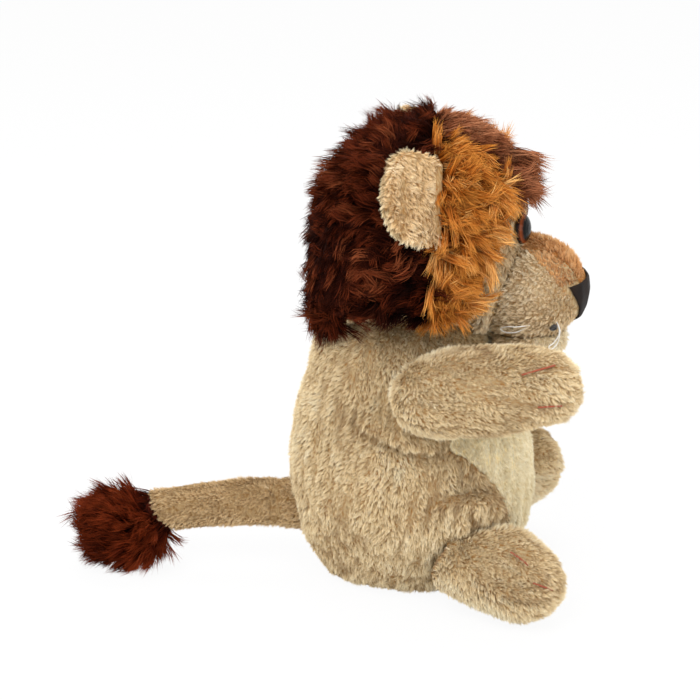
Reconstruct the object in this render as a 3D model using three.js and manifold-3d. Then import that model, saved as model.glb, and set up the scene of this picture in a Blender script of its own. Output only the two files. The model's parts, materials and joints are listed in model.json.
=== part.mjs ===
// Lion hand puppet: a hollow plush body on a hand lining, a stuffed head on a neck seam, two finger arms,
// two stuffed legs and a tail with a tuft. Millimetres, +X forward, +Y the lion's left, +Z up.
// The origin is the middle of the bounding box's underside.
import * as THREE from "three";
import { mergeVertices } from "three/addons/utils/BufferGeometryUtils.js";
import Module from "manifold-3d";

const wasm = await Module();
wasm.setup();

// Cloth and seams
const gap = 0.4; // air between sewn neighbours
const skinWall = 3.5; // plush backing with its short pile
const liningWall = 1.2; // tricot lining
const seamWall = 0.9; // rolled seam ring at a joint
const ballGap = 0.5; // running gap of a ball seat, which also clears the facets
const groundFlat = 0.5; // depth of the flat that a rounded base rests on

// Torso
const mouthDepth = 46; // half length of the hand opening, front to back
const mouthWidth = 26; // half width of the hand opening
const mouthForward = 3; // the opening sits this far in front of the torso's middle
const hipHeight = 45; // height of the widest section
const hipDepth = 62;
const hipWidth = 52;
const chestHeight = 88;
const chestDepth = 58.5;
const chestWidth = 49;
const shoulderHeight = 112; // the neck pivot, centre of the shoulder dome
const shoulderBack = 4; // the dome's centre lies this far behind the torso's middle
const domeRadius = 47;
const neckHole = 14; // radius of the finger way through the dome
const neckSeamFrom = 20; // degrees from the dome's top over which the neck seam lies
const neckSeamTo = 38;
const hemHeight = 10;
const hemWall = 2.4;
const bellyTopWidth = 45; // half width of the pale belly panel at chest height
const bellyBaseWidth = 11; // and at the opening

// Head
const headForward = 3.5; // head centre in front of the torso's middle
const headAbove = 74; // head centre above the neck
const headHeight = shoulderHeight + headAbove;
const headDepth = 46.5; // radii of the stuffed head
const headWidth = 49;
const headRise = 50;
const headDrop = 62;
const headLean = 0.14; // forward shift of the head's form for each millimetre of height
const facePile = 3.5; // short pile of the face
const manePile = 7; // long pile of the back of the mane
const ruffPile = 7; // long pile of the golden ruff
const crownPile = 7.5; // long pile of the crown strip
const earSeam = 10; // the seam across the head that holds the ears, in front of the torso's middle
const crownWidth = 21; // half width of the crown strip
const crownRise = 19; // the crown strip ends this far above the head's centre, over the brow
const crownEnd = headHeight + crownRise;
const nodDown = 16; // degrees that the chin is cut for
const nodClear = 0.9; // air under the head all round the dome
const maneBackDrop = 53; // the mane's lower edge under the head's centre, behind
const maneBackRim = headHeight - maneBackDrop;
const maneSideDrop = 29; // and over the shoulders
const maneSideRim = headHeight - maneSideDrop;
const stallRadius = 11; // finger pocket in the head
const stallRise = 36; // the pocket's end above the head's centre
const stallTop = headHeight + stallRise;

// Muzzle and eyes
const muzzleForward = 55;
const muzzleDrop = 29.5; // muzzle centre under the head's centre
const muzzleHeight = headHeight - muzzleDrop;
const muzzleDepth = 30;
const muzzleWidth = 31;
const muzzleRise = 26;
const bridgeWidth = 13; // half width of the strip over the nose
const bridgeTuck = 8; // the strip's lower edge under the nose's top
const nosePile = 1.6;
const noseWidth = 23.5; // half width of the nose at its top
const noseRise = 7.5; // the nose's top above the muzzle's centre
const noseFall = 17.5; // and its tip under it
const noseTop = muzzleHeight + noseRise;
const noseBase = muzzleHeight - noseFall;
const chinForward = 56;
const chinDrop = 25.5; // chin centre under the muzzle's centre
const chinHeight = muzzleHeight - chinDrop;
const chinDepth = 21;
const chinWidth = 24;
const chinRise = 15;
const eyeApart = 18; // half distance between the eyes
const eyeRise = 5; // the eyes above the head's centre
const eyeHeight = headHeight + eyeRise;
const eyeRadius = 7.5;
const eyeDome = 4.5;
const eyeStem = 2;
const washerRadius = 6;
const washerWall = 1.6;
const washerSink = 1.6; // the washer's face under the head's skin
const whiskerRadius = 0.5;
const whiskerLength = 13;
const whiskerRearForward = 8; // roots of the whiskers, in front of the muzzle's centre and under it
const whiskerRearDrop = 16.5;
const whiskerFrontForward = 18;
const whiskerFrontDrop = 13.5;

// Ears
const earLength = 44; // along the seam
const earDepth = 31; // from the seam to the free edge
const earLayer = 4.2; // each of the two plush layers
const earRise = 23; // the ears' middle above the head's centre
const earHeight = headHeight + earRise;
const earLean = 48; // degrees that the flap leans back from square to the head

// Arms
const armForward = 11; // shoulder centre in front of the torso's middle
const armAbove = 8; // shoulder centre above the neck
const armHeight = shoulderHeight + armAbove;
const armStandOff = 14; // shoulder centre outside the dome
const armReach = 51.5; // shoulder centre to paw centre
const armSplay = 10; // degrees outward
const armRise = 10; // degrees upward
const armRoot = 21; // radii along the arm
const armMiddle = 24;
const armPaw = 20;
const armFlat = 0.86; // side to side against up and down
const armHole = 14; // finger way into the arm
const cuffShare = 0.92; // the cuff inside the stall's mouth, as a share of the stall's radius
const stallShare = 0.62; // the finger stall takes this share of the arm, the paw filling the rest

// Legs
const hipForward = 27;
const legHipHeight = 37;
const legHipIn = 8; // the leg's root centre lies this far inside the torso's skin
const footForward = 29.5; // foot centre in front of the hip
const footOut = 13.5; // foot centre outside the hip
const thighDrop = 11; // the thigh's middle under the hip joint
const legRoot = 21;
const legMiddle = 25;
const footRadius = 21.5;
const legUp = 35; // degrees of swing that the hip is cut for
const legDown = 30;
const leftLegLift = 34; // degrees that the left leg is raised as the puppet sits

// Tail
const tailHeight = 37.5;
const tailSink = 2; // how deep the tail's ball sits in the back
const tailRoot = 13;
const tailEase = 0.15; // more air round the tail seam, for its facets
const tailTip = 11.2;
const tailLength = 61;
const tailDrop = 6.5;
const tuftLength = 27; // radii of the tuft
const tuftWidth = 20;
const tuftHeight = 22;

const degrees = Math.PI / 180;
const big = 400; // larger than the puppet, for cutting blocks

const point = (x, y, z) => new THREE.Vector3(x, y, z);

// Solids from geometries and back
function solidOf(geometry) {
  const bare = geometry.index ? geometry.toNonIndexed() : geometry.clone();
  bare.deleteAttribute("normal");
  bare.deleteAttribute("uv");
  const merged = mergeVertices(bare, 1e-4);
  const vertProperties = new Float32Array(merged.attributes.position.array);
  const triVerts = new Uint32Array(merged.index.array);
  return new wasm.Manifold(new wasm.Mesh({ numProp: 3, vertProperties, triVerts }));
}

function geometryOf(solid) {
  const mesh = solid.getMesh();
  const places = new Float32Array(mesh.numVert * 3);
  for (let i = 0; i < mesh.numVert; i++) {
    const from = i * mesh.numProp;
    places.set(mesh.vertProperties.subarray(from, from + 3), i * 3);
  }
  const geometry = new THREE.BufferGeometry();
  geometry.setAttribute("position", new THREE.BufferAttribute(places, 3));
  geometry.setIndex(new THREE.BufferAttribute(mesh.triVerts.slice(), 1));
  geometry.computeVertexNormals();
  return geometry;
}

function mirrored(geometry) {
  const copy = geometry.index ? geometry.toNonIndexed() : geometry.clone();
  const place = copy.attributes.position;
  for (let i = 0; i < place.count; i += 3) {
    const [a, b, c] = [0, 1, 2].map((k) => new THREE.Vector3().fromBufferAttribute(place, i + k));
    [a, c, b].forEach((p, k) => place.setXYZ(i + k, p.x, -p.y, p.z));
  }
  return copy;
}

const cutBy = (solid, cutters) => cutters.reduce((a, b) => a.subtract(b), solid);

// Blocks and round forms
function block(low, high) {
  const size = new THREE.Vector3().subVectors(high, low);
  const middle = new THREE.Vector3().addVectors(low, high).multiplyScalar(0.5);
  return solidOf(new THREE.BoxGeometry(size.x, size.y, size.z).translate(middle.x, middle.y, middle.z));
}

function ball(centre, radius, around = 24, along = 16) {
  const geometry = new THREE.SphereGeometry(radius, around, along).rotateX(90 * degrees);
  return solidOf(geometry.translate(centre.x, centre.y, centre.z));
}

function egg(centre, radii, around = 18, along = 12) {
  const geometry = new THREE.SphereGeometry(1, around, along).rotateX(90 * degrees);
  geometry.scale(radii.x, radii.y, radii.z);
  return solidOf(geometry.translate(centre.x, centre.y, centre.z));
}

function rod(from, to, radius, around = 12) {
  const path = new THREE.LineCurve3(from, to);
  const section = new THREE.Shape().absarc(0, 0, radius, 0, 2 * Math.PI);
  const curveSegments = around / 2;
  return solidOf(new THREE.ExtrudeGeometry(section, { steps: 1, curveSegments, extrudePath: path }));
}

// A block with an outline in y and z, running forward from x = start.
function frontBlock(outline, start, length, curveSegments = 6) {
  const geometry = new THREE.ExtrudeGeometry(outline, { depth: length, bevelEnabled: false, curveSegments });
  return solidOf(geometry.rotateX(90 * degrees).rotateZ(90 * degrees).translate(start, 0, 0));
}

// A closed skin through rings of points, each ring wound the same way, with a pole at each end.
function skinThrough(rings, startPole, endPole) {
  const around = rings[0].length;
  const points = [startPole, ...rings.flat(), endPole];
  const at = (ring, k) => 1 + ring * around + (k % around);
  const faces = [];
  for (let k = 0; k < around; k++) {
    faces.push(0, at(0, k + 1), at(0, k));
    faces.push(points.length - 1, at(rings.length - 1, k), at(rings.length - 1, k + 1));
    for (let r = 0; r + 1 < rings.length; r++) {
      faces.push(at(r, k), at(r, k + 1), at(r + 1, k));
      faces.push(at(r, k + 1), at(r + 1, k + 1), at(r + 1, k));
    }
  }
  const geometry = new THREE.BufferGeometry().setFromPoints(points);
  return geometry.setIndex(faces);
}

// The torso: an egg lofted through four stations, with the shoulder dome on top
const pivot = point(-shoulderBack, 0, shoulderHeight);
const stations = [
  { z: 0, mid: mouthForward, depth: mouthDepth, width: mouthWidth },
  { z: hipHeight, mid: 0, depth: hipDepth, width: hipWidth },
  { z: chestHeight, mid: 0, depth: chestDepth, width: chestWidth },
  { z: shoulderHeight, mid: -shoulderBack, depth: domeRadius, width: domeRadius },
];
const torsoMiddles = new THREE.CatmullRomCurve3(stations.map((s) => point(s.mid, 0, s.z)));
const torsoRadii = new THREE.CatmullRomCurve3(stations.map((s) => point(s.depth, s.width, s.z)));

function torsoSection(share) {
  const middle = torsoMiddles.getPoint(share);
  const radii = torsoRadii.getPoint(share);
  return { z: radii.z, mid: middle.x, depth: radii.x, width: radii.y };
}

// The section at a height, found by walking up the loft in small steps.
function torsoSectionAt(z) {
  const step = 0.005;
  let share = 0;
  while (share < 1 && torsoSection(share).z < z) share += step;
  return torsoSection(share);
}

// The half width of the torso at a place x, z on its side.
function torsoSide(x, z) {
  if (z >= shoulderHeight) return Math.sqrt(domeRadius ** 2 - (x - pivot.x) ** 2 - (z - pivot.z) ** 2);
  const s = torsoSectionAt(z);
  return s.width * Math.sqrt(1 - ((x - s.mid) / s.depth) ** 2);
}

function torsoBackAt(z) {
  const s = torsoSectionAt(z);
  return s.mid - s.depth;
}

const fine = { around: 24, lower: 8, upper: 5 };
const plain = { around: 16, lower: 6, upper: 4 };

function torsoForm(grow, base = 0, { around, lower, upper } = fine) {
  const rings = [];
  const ringOf = (mid, depth, width, z) => {
    const ring = [];
    for (let k = 0; k < around; k++) {
      const turn = (k / around) * 2 * Math.PI;
      ring.push(point(mid + depth * Math.cos(turn), width * Math.sin(turn), z));
    }
    rings.push(ring);
  };
  for (let i = 0; i < lower; i++) {
    const s = torsoSection(i / lower);
    ringOf(s.mid, s.depth + grow, s.width + grow, i === 0 ? base : s.z);
  }
  const radius = domeRadius + grow;
  for (let j = 0; j < upper; j++) {
    const a = (j / upper) * 90 * degrees;
    ringOf(pivot.x, radius * Math.cos(a), radius * Math.cos(a), pivot.z + radius * Math.sin(a));
  }
  const foot = point(mouthForward, 0, base);
  const top = point(pivot.x, 0, pivot.z + radius);
  return solidOf(skinThrough(rings, foot, top));
}

// Places that several pieces share
const sides = [-1, 1]; // right, left
const headCentre = point(headForward, 0, headHeight);
const shoulderOut = torsoSide(armForward, armHeight) + armStandOff;
const shoulderAt = (side) => point(armForward, side * shoulderOut, armHeight);
const tailJoint = point(torsoBackAt(tailHeight) - tailRoot + tailSink, 0, tailHeight);
const armSocket = armRoot + 2 * ballGap;
const tailSocket = tailRoot + 2 * ballGap + seamWall + tailEase;
const headSocket = domeRadius + 2 * ballGap + seamWall + nodClear - ballGap;

// A ring of cloth lying between two balls of one centre, from one angle off its axis to another.
function seamRing(centre, radius, fromAngle, toAngle, turn, around = 20) {
  const steps = 2;
  const outline = [];
  for (let i = 0; i <= steps; i++) {
    const a = (fromAngle + ((toAngle - fromAngle) * i) / steps) * degrees;
    outline.push(new THREE.Vector2((radius + seamWall) * Math.sin(a), (radius + seamWall) * Math.cos(a)));
  }
  for (let i = steps; i >= 0; i--) {
    const a = (fromAngle + ((toAngle - fromAngle) * i) / steps) * degrees;
    outline.push(new THREE.Vector2(radius * Math.sin(a), radius * Math.cos(a)));
  }
  outline.push(outline[0].clone());
  const geometry = new THREE.LatheGeometry(outline.reverse(), around);
  return geometry.applyQuaternion(turn).translate(centre.x, centre.y, centre.z);
}

const towards = (direction) =>
  new THREE.Quaternion().setFromUnitVectors(point(0, 1, 0), direction.clone().normalize());

// A soft limb along a path: a ball root, a swelling middle and a rounded tip.
function limbSkin({ path, radii, flat = 1, grow = 0, around = 14, along = 6 }) {
  const [root, middle, tip] = radii.map((r) => r + grow);
  const capRings = 2;
  const rings = [];
  const ringAt = (share, shift, radius, squeeze) => {
    const forward = path.getTangent(share);
    const side = new THREE.Vector3().crossVectors(forward, point(0, 0, 1)).normalize();
    const up = new THREE.Vector3().crossVectors(side, forward);
    const centre = path.getPoint(share).addScaledVector(forward, shift);
    const ring = [];
    for (let k = 0; k < around; k++) {
      const turn = (-k / around) * 2 * Math.PI;
      const place = centre.clone().addScaledVector(side, radius * squeeze * Math.cos(turn));
      ring.push(place.addScaledVector(up, radius * Math.sin(turn)));
    }
    rings.push(ring);
  };
  const swell = (u) => (1 - u) ** 2 * root + 2 * u * (1 - u) * middle + u ** 2 * tip;
  const squeezeAt = (u) => 1 + (flat - 1) * Math.min(1, 2 * u);
  for (let i = capRings; i >= 1; i--) {
    const a = (i / (capRings + 1)) * 90 * degrees;
    ringAt(0, -root * Math.sin(a), root * Math.cos(a), 1);
  }
  for (let i = 0; i <= along; i++) ringAt(i / along, 0, swell(i / along), squeezeAt(i / along));
  for (let i = 1; i <= capRings; i++) {
    const a = (i / (capRings + 1)) * 90 * degrees;
    ringAt(1, tip * Math.sin(a), tip * Math.cos(a), flat);
  }
  const first = path.getPoint(0).addScaledVector(path.getTangent(0), -root);
  const last = path.getPoint(1).addScaledVector(path.getTangent(1), tip);
  return solidOf(skinThrough(rings, first, last));
}

// The arm, worked out on the right side
const armWay = point(
  Math.cos(armSplay * degrees) * Math.cos(armRise * degrees),
  -Math.sin(armSplay * degrees) * Math.cos(armRise * degrees),
  Math.sin(armRise * degrees),
);
const armJoint = shoulderAt(-1);
const armPath = new THREE.CatmullRomCurve3([
  armJoint,
  armJoint.clone().addScaledVector(armWay, armReach / 2),
  armJoint.clone().addScaledVector(armWay, armReach),
]);
const armForm = (grow, options = {}) =>
  limbSkin({ path: armPath, radii: [armRoot, armMiddle, armPaw], flat: armFlat, grow, ...options });

function armPieces() {
  const inward = armJoint.clone().add(point(0, 2 * armRoot, 0));
  const hole = rod(armJoint, inward, armHole);
  const coarse = { around: 12, along: 4 };
  const stallEnd = armPath.getPoint(stallShare);
  const beyond = halfSpace(stallEnd, armWay);
  const before = halfSpace(stallEnd.clone().addScaledVector(armWay, -gap), armWay.clone().negate());
  const skin = armForm(0).subtract(armForm(-skinWall, coarse)).subtract(hole);
  const outside = armForm(-skinWall - gap, coarse);
  const room = armForm(-skinWall - gap - liningWall, coarse);
  const stall = outside.intersect(before).subtract(room).subtract(hole);
  const filling = outside.intersect(beyond);
  return { skin, stall, filling };
}

// A block that fills everything on the far side of a plane.
function halfSpace(start, normal) {
  const turn = new THREE.Quaternion().setFromUnitVectors(point(0, 0, 1), normal);
  const geometry = new THREE.BoxGeometry(big, big, big).translate(0, 0, big / 2);
  return solidOf(geometry.applyQuaternion(turn).translate(start.x, start.y, start.z));
}

// The leg, worked out on the right side and cut by the torso over its whole swing
const legJoint = point(hipForward, legHipIn - torsoSide(hipForward, legHipHeight), legHipHeight);
const footCentre = point(
  legJoint.x + footForward,
  legJoint.y - footOut,
  footRadius - groundFlat,
);
const legPath = new THREE.CatmullRomCurve3([
  legJoint.clone().add(point(0, 0, -thighDrop)),
  new THREE.Vector3().lerpVectors(legJoint, footCentre, 0.55).add(point(0, 0, -3)),
  footCentre,
]);
const legForm = (grow, options = {}) =>
  limbSkin({ path: legPath, radii: [legRoot, legMiddle, footRadius], grow, ...options });

// The torso as a limb sees it after a swing about a cross axis.
function swungTorso(centre, angle, grow) {
  const geometry = geometryOf(torsoForm(grow, -1));
  geometry.translate(-centre.x, -centre.y, -centre.z);
  geometry.rotateY(angle * degrees).translate(centre.x, centre.y, centre.z);
  return solidOf(geometry);
}

function legPieces() {
  const ground = block(point(-big, -big, 0), point(big, big, big));
  const angles = [-legDown, -legDown / 2, 0, legUp / 2, legUp];
  const swings = (grow) => angles.map((angle) => swungTorso(legJoint, angle, grow));
  const outer = cutBy(legForm(0).intersect(ground), swings(gap));
  const core = legForm(-skinWall, { around: 10, along: 4 });
  const skin = outer.subtract(core);
  const inner = legForm(-skinWall - gap, { around: 10, along: 4 });
  return { skin: largest(skin), filling: cutBy(inner, swings(gap + 1)) };
}

// The biggest of the bodies that a cut left.
const largest = (solid) => solid.decompose().reduce((a, b) => (a.volume() > b.volume() ? a : b));

// The tail, level behind the seat, with its tuft resting on the ground
const tailEnd = tailJoint.clone().add(point(-tailLength, 0, -tailDrop));
const tailPath = new THREE.CatmullRomCurve3([
  tailJoint,
  new THREE.Vector3().lerpVectors(tailJoint, tailEnd, 0.5).add(point(0, 0, tailDrop / 6)),
  tailEnd,
]);
const tuftCentre = point(tailEnd.x - tuftLength + tailTip, 0, tuftHeight - groundFlat);

function tailPieces() {
  const radii = [tailRoot, (tailRoot + tailTip) / 2, tailTip];
  const tail = (grow, around = 12, along = 4) => limbSkin({ path: tailPath, radii, grow, around, along });
  const ground = block(point(-big, -big, 0), point(big, big, big));
  const tuftEgg = (grow) =>
    egg(tuftCentre, point(tuftLength + grow, tuftWidth + grow, tuftHeight + grow), 16, 10);
  const mouth = rod(tailJoint.clone().setX(tailJoint.x + 2 * tailRoot), tailJoint, tailRoot / 2);
  const sleeve = cutBy(tail(0), [tail(-skinWall, 8, 3), mouth, tuftEgg(gap)]);
  const filling = tail(-skinWall - gap, 8, 3).subtract(tuftEgg(gap));
  return { sleeve: largest(sleeve), filling: largest(filling), tuft: tuftEgg(0).intersect(ground) };
}

// Torso skin in three panels, hem and lining
function torsoPieces() {
  const way = rod(pivot, pivot.clone().setZ(big), neckHole);
  const sockets = sides.map((side) => ball(shoulderAt(side), armSocket));
  const tailSeat = ball(tailJoint, tailSocket, 14, 10);
  const shell = cutBy(torsoForm(0), [torsoForm(-skinWall, -1, plain), way, ...sockets, tailSeat]);
  const belly = bellyCutter(0);
  const bellyHole = bellyCutter(gap);
  const back = shell.subtract(bellyHole);
  const half = (side) => block(
    point(-big, side > 0 ? gap / 2 : -big, -big),
    point(big, side > 0 ? big : -gap / 2, big),
  );
  const hemTop = block(point(-big, -big, -big), point(big, big, hemHeight));
  const inside = torsoForm(-skinWall - gap, -1, plain);
  const hem = inside.intersect(hemTop).subtract(torsoForm(-skinWall - gap - hemWall, -2, plain));
  const liningBase = block(
    point(-big, -big, hemHeight + gap),
    point(big, big, big),
  );
  const room = torsoForm(-skinWall - gap - liningWall, -2, plain);
  const lining = inside.intersect(liningBase).subtract(room);
  return {
    belly: largest(shell.intersect(belly)),
    sidePanels: sides.map((side) => largest(back.intersect(half(side)))),
    hem: hem.intersect(block(point(-big, -big, 0), point(big, big, big))),
    lining: largest(cutBy(lining, [way, ...sockets])),
  };
}

// The belly panel's outline, wide at the chest and narrow at the opening, as a block through the front.
function bellyCutter(grow) {
  const outline = new THREE.Shape();
  outline.moveTo(-bellyBaseWidth - grow, -1);
  const lowTurn = hipHeight * 0.8;
  const topZ = shoulderHeight + domeRadius * 0.45;
  outline.quadraticCurveTo(-bellyBaseWidth * 2.4 - grow, lowTurn, -bellyTopWidth - grow, chestHeight);
  outline.quadraticCurveTo(-bellyTopWidth * 0.9 - grow, topZ, 0, topZ + grow);
  outline.quadraticCurveTo(bellyTopWidth * 0.9 + grow, topZ, bellyTopWidth + grow, chestHeight);
  outline.quadraticCurveTo(bellyBaseWidth * 2.4 + grow, lowTurn, bellyBaseWidth + grow, -1);
  outline.closePath();
  return frontBlock(outline, 0, big, 8);
}

// The head: a ball with a fuller underside
function headForm(grow, around = 24, along = 14) {
  const geometry = new THREE.SphereGeometry(1, around, along).rotateX(90 * degrees);
  const place = geometry.attributes.position;
  const fullness = 3; // exponent of the underside's superellipse
  for (let i = 0; i < place.count; i++) {
    const unit = new THREE.Vector3().fromBufferAttribute(place, i);
    const level = Math.hypot(unit.x, unit.y);
    let wide = level;
    if (unit.z < 0 && level > 0) wide = (1 - (-unit.z) ** fullness) ** (1 / fullness);
    const scale = level > 0 ? wide / level : 0;
    const height = unit.z < 0 ? headDrop : headRise;
    place.setXYZ(
      i,
      headCentre.x + unit.x * scale * (headDepth + grow) + headLean * unit.z * (height + grow),
      headCentre.y + unit.y * scale * (headWidth + grow),
      headCentre.z + unit.z * (height + grow),
    );
  }
  return solidOf(geometry);
}

// Everything under the head's lower edge: low behind, arched over the shoulders.
function underHead() {
  const reach = headWidth + manePile + 20;
  const outline = new THREE.Shape();
  outline.moveTo(-reach, 0);
  outline.lineTo(-reach, maneSideRim);
  outline.lineTo(-headWidth * 0.75, maneSideRim);
  outline.quadraticCurveTo(-headWidth * 0.45, maneBackRim, 0, maneBackRim);
  outline.quadraticCurveTo(headWidth * 0.45, maneBackRim, headWidth * 0.75, maneSideRim);
  outline.lineTo(reach, maneSideRim);
  outline.lineTo(reach, 0);
  outline.closePath();
  return frontBlock(outline, -big, 2 * big).add(ball(pivot, headSocket));
}

// The golden ruff's front edge, seen from the side, as a block through the whole head.
function ruffCutter(grow) {
  const front = headCentre.x + headDepth;
  const outline = new THREE.Shape();
  outline.moveTo(earSeam - grow, -big);
  outline.lineTo(front * 0.52 + grow, -big);
  outline.lineTo(front * 0.52 + grow, maneSideRim);
  outline.quadraticCurveTo(front * 0.68 + grow, headHeight, front * 0.86 + grow, crownEnd);
  outline.lineTo(front * 0.86 + grow, big);
  outline.lineTo(earSeam - grow, big);
  outline.closePath();
  const depth = 2 * big;
  const geometry = new THREE.ExtrudeGeometry(outline, { depth, bevelEnabled: false, curveSegments: 6 });
  return solidOf(geometry.rotateX(90 * degrees).translate(0, big, 0));
}

function crownCutter(grow) {
  return block(
    point(earSeam - grow, -crownWidth - grow, crownEnd - grow),
    point(big, crownWidth + grow, big),
  );
}

// The ear, worked out on the right side: two plump layers of one flap
const earSlope = Math.asin((earHeight - headHeight) / headRise);
const earRoot = point(earSeam, -headWidth * Math.cos(earSlope), earHeight);
const earAlong = point(0, Math.sin(earSlope), Math.cos(earSlope));
const earNormal = point(0, -Math.cos(earSlope), Math.sin(earSlope));
const earOut = earNormal
  .clone()
  .multiplyScalar(Math.cos(earLean * degrees))
  .add(point(-Math.sin(earLean * degrees), 0, 0));
const earFace = new THREE.Vector3().crossVectors(earAlong, earOut);

function earLayerGeometry(layer, grow) {
  const bevel = 1.6;
  const half = earLength / 2 - bevel + grow;
  const depth = earDepth - bevel + grow;
  const outline = new THREE.Shape();
  outline.moveTo(-half * 0.8, 0);
  outline.bezierCurveTo(-half * 1.15, depth * 0.7, -half * 0.7, depth, 0, depth);
  outline.bezierCurveTo(half * 0.7, depth, half * 1.15, depth * 0.7, half * 0.8, 0);
  outline.closePath();
  const wall = earLayer - 2 * bevel - gap / 2 + 2 * grow;
  const geometry = new THREE.ExtrudeGeometry(outline, {
    depth: wall,
    bevelThickness: bevel,
    bevelSize: bevel,
    bevelSegments: 2,
    curveSegments: 7,
  });
  geometry.translate(0, 0, (layer > 0 ? gap / 2 : -earLayer) + bevel - grow);
  const basis = new THREE.Matrix4().makeBasis(earAlong, earOut, earFace).setPosition(earRoot);
  return geometry.applyMatrix4(basis);
}

// Muzzle forms
const muzzleCentre = point(muzzleForward, 0, muzzleHeight);
const muzzleForm = (grow) =>
  egg(muzzleCentre, point(muzzleDepth + grow, muzzleWidth + grow, muzzleRise + grow), 22, 14);

function bridgeCutter(grow) {
  const low = noseTop - bridgeTuck - grow;
  return block(
    point(0, -bridgeWidth - grow, low),
    point(big, bridgeWidth + grow, big),
  );
}

// The nose's outline from in front: wide at the top, pointed below.
function noseCutter(grow) {
  const outline = new THREE.Shape();
  outline.moveTo(-noseWidth - grow, noseTop + grow);
  outline.quadraticCurveTo(-noseWidth * 0.8 - grow, noseBase + 8, 0, noseBase - grow);
  outline.quadraticCurveTo(noseWidth * 0.8 + grow, noseBase + 8, noseWidth + grow, noseTop + grow);
  outline.closePath();
  return frontBlock(outline, muzzleForward + muzzleDepth * 0.35, big);
}

// Eye seats: where the stem goes through the face, and the way it points
const eyeSeat = (() => {
  const up = (eyeHeight - headHeight) / headRise;
  const out = eyeApart / headWidth;
  const forward = Math.sqrt(1 - up ** 2 - out ** 2);
  const lean = headLean * (eyeHeight - headHeight);
  const at = point(headCentre.x + headDepth * forward + lean, -eyeApart, eyeHeight);
  const way = point(forward / headDepth, -out / headWidth, up / headRise).normalize();
  return { at, way };
})();

// An eye with its stem in one piece, turned about its own axis.
function eyeGeometry() {
  const seat = facePile + gap;
  const stemEnd = -washerWall - washerSink - 1;
  const outline = [new THREE.Vector2(0, stemEnd), new THREE.Vector2(eyeStem, stemEnd)];
  outline.push(new THREE.Vector2(eyeStem, seat));
  for (let i = 0; i <= 5; i++) {
    const a = (i / 5) * 90 * degrees;
    outline.push(new THREE.Vector2(eyeRadius * Math.cos(a), seat + eyeDome * Math.sin(a)));
  }
  outline[outline.length - 1].x = 0;
  return placedOnEye(new THREE.LatheGeometry(outline, 14));
}

function washerGeometry() {
  const low = -washerWall - washerSink;
  const outline = [
    [eyeStem + gap / 2, low],
    [washerRadius, low],
    [washerRadius, low + washerWall],
    [eyeStem + gap / 2, low + washerWall],
    [eyeStem + gap / 2, low],
  ].map(([x, y]) => new THREE.Vector2(x, y));
  return placedOnEye(new THREE.LatheGeometry(outline, 14));
}

function placedOnEye(geometry) {
  return geometry.applyQuaternion(towards(eyeSeat.way)).translate(eyeSeat.at.x, eyeSeat.at.y, eyeSeat.at.z);
}

function eyeBores() {
  const deep = eyeSeat.at.clone().addScaledVector(eyeSeat.way, -washerWall - washerSink - 2 * gap - 1);
  const shallow = eyeSeat.at.clone().addScaledVector(eyeSeat.way, -gap / 2);
  const out = eyeSeat.at.clone().addScaledVector(eyeSeat.way, facePile + eyeDome);
  const flatSeat = eyeSeat.at.clone().addScaledVector(eyeSeat.way, facePile);
  return {
    stem: rod(deep, out, eyeStem + gap),
    pocket: rod(deep, shallow.clone().addScaledVector(eyeSeat.way, 3), washerRadius + gap),
    seat: rod(flatSeat, out, eyeRadius + gap, 20),
  };
}

// A whisker is a loop of thread that leaves the cheek and comes back beside itself.
function whiskerGeometry(root, way, outward) {
  const spread = whiskerLength * 0.2;
  const rise = new THREE.Vector3().crossVectors(outward, way).normalize();
  const at = (along, up) => root.clone().addScaledVector(way, along).addScaledVector(rise, up);
  const path = new THREE.CatmullRomCurve3([
    at(0, spread * 0.3),
    at(whiskerLength * 0.5, spread * 0.8),
    at(whiskerLength * 0.92, spread * 0.9),
    at(whiskerLength, 0),
    at(whiskerLength * 0.92, -spread * 0.9),
    at(whiskerLength * 0.5, -spread * 0.8),
    at(0, -spread * 0.3),
  ]);
  const section = new THREE.Shape().absarc(0, 0, whiskerRadius, 0, 2 * Math.PI);
  return new THREE.ExtrudeGeometry(section, { steps: 12, curveSegments: 3, extrudePath: path });
}

function muzzlePoint(forward, height, lift) {
  const x = forward / muzzleDepth;
  const z = (height - muzzleHeight) / muzzleRise;
  const y = -Math.sqrt(Math.max(0, 1 - x * x - z * z));
  const way = point(x / muzzleDepth, y / muzzleWidth, z / muzzleRise).normalize();
  const at = point(muzzleForward + forward, y * muzzleWidth, height);
  return { at: at.addScaledVector(way, lift), way };
}

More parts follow.
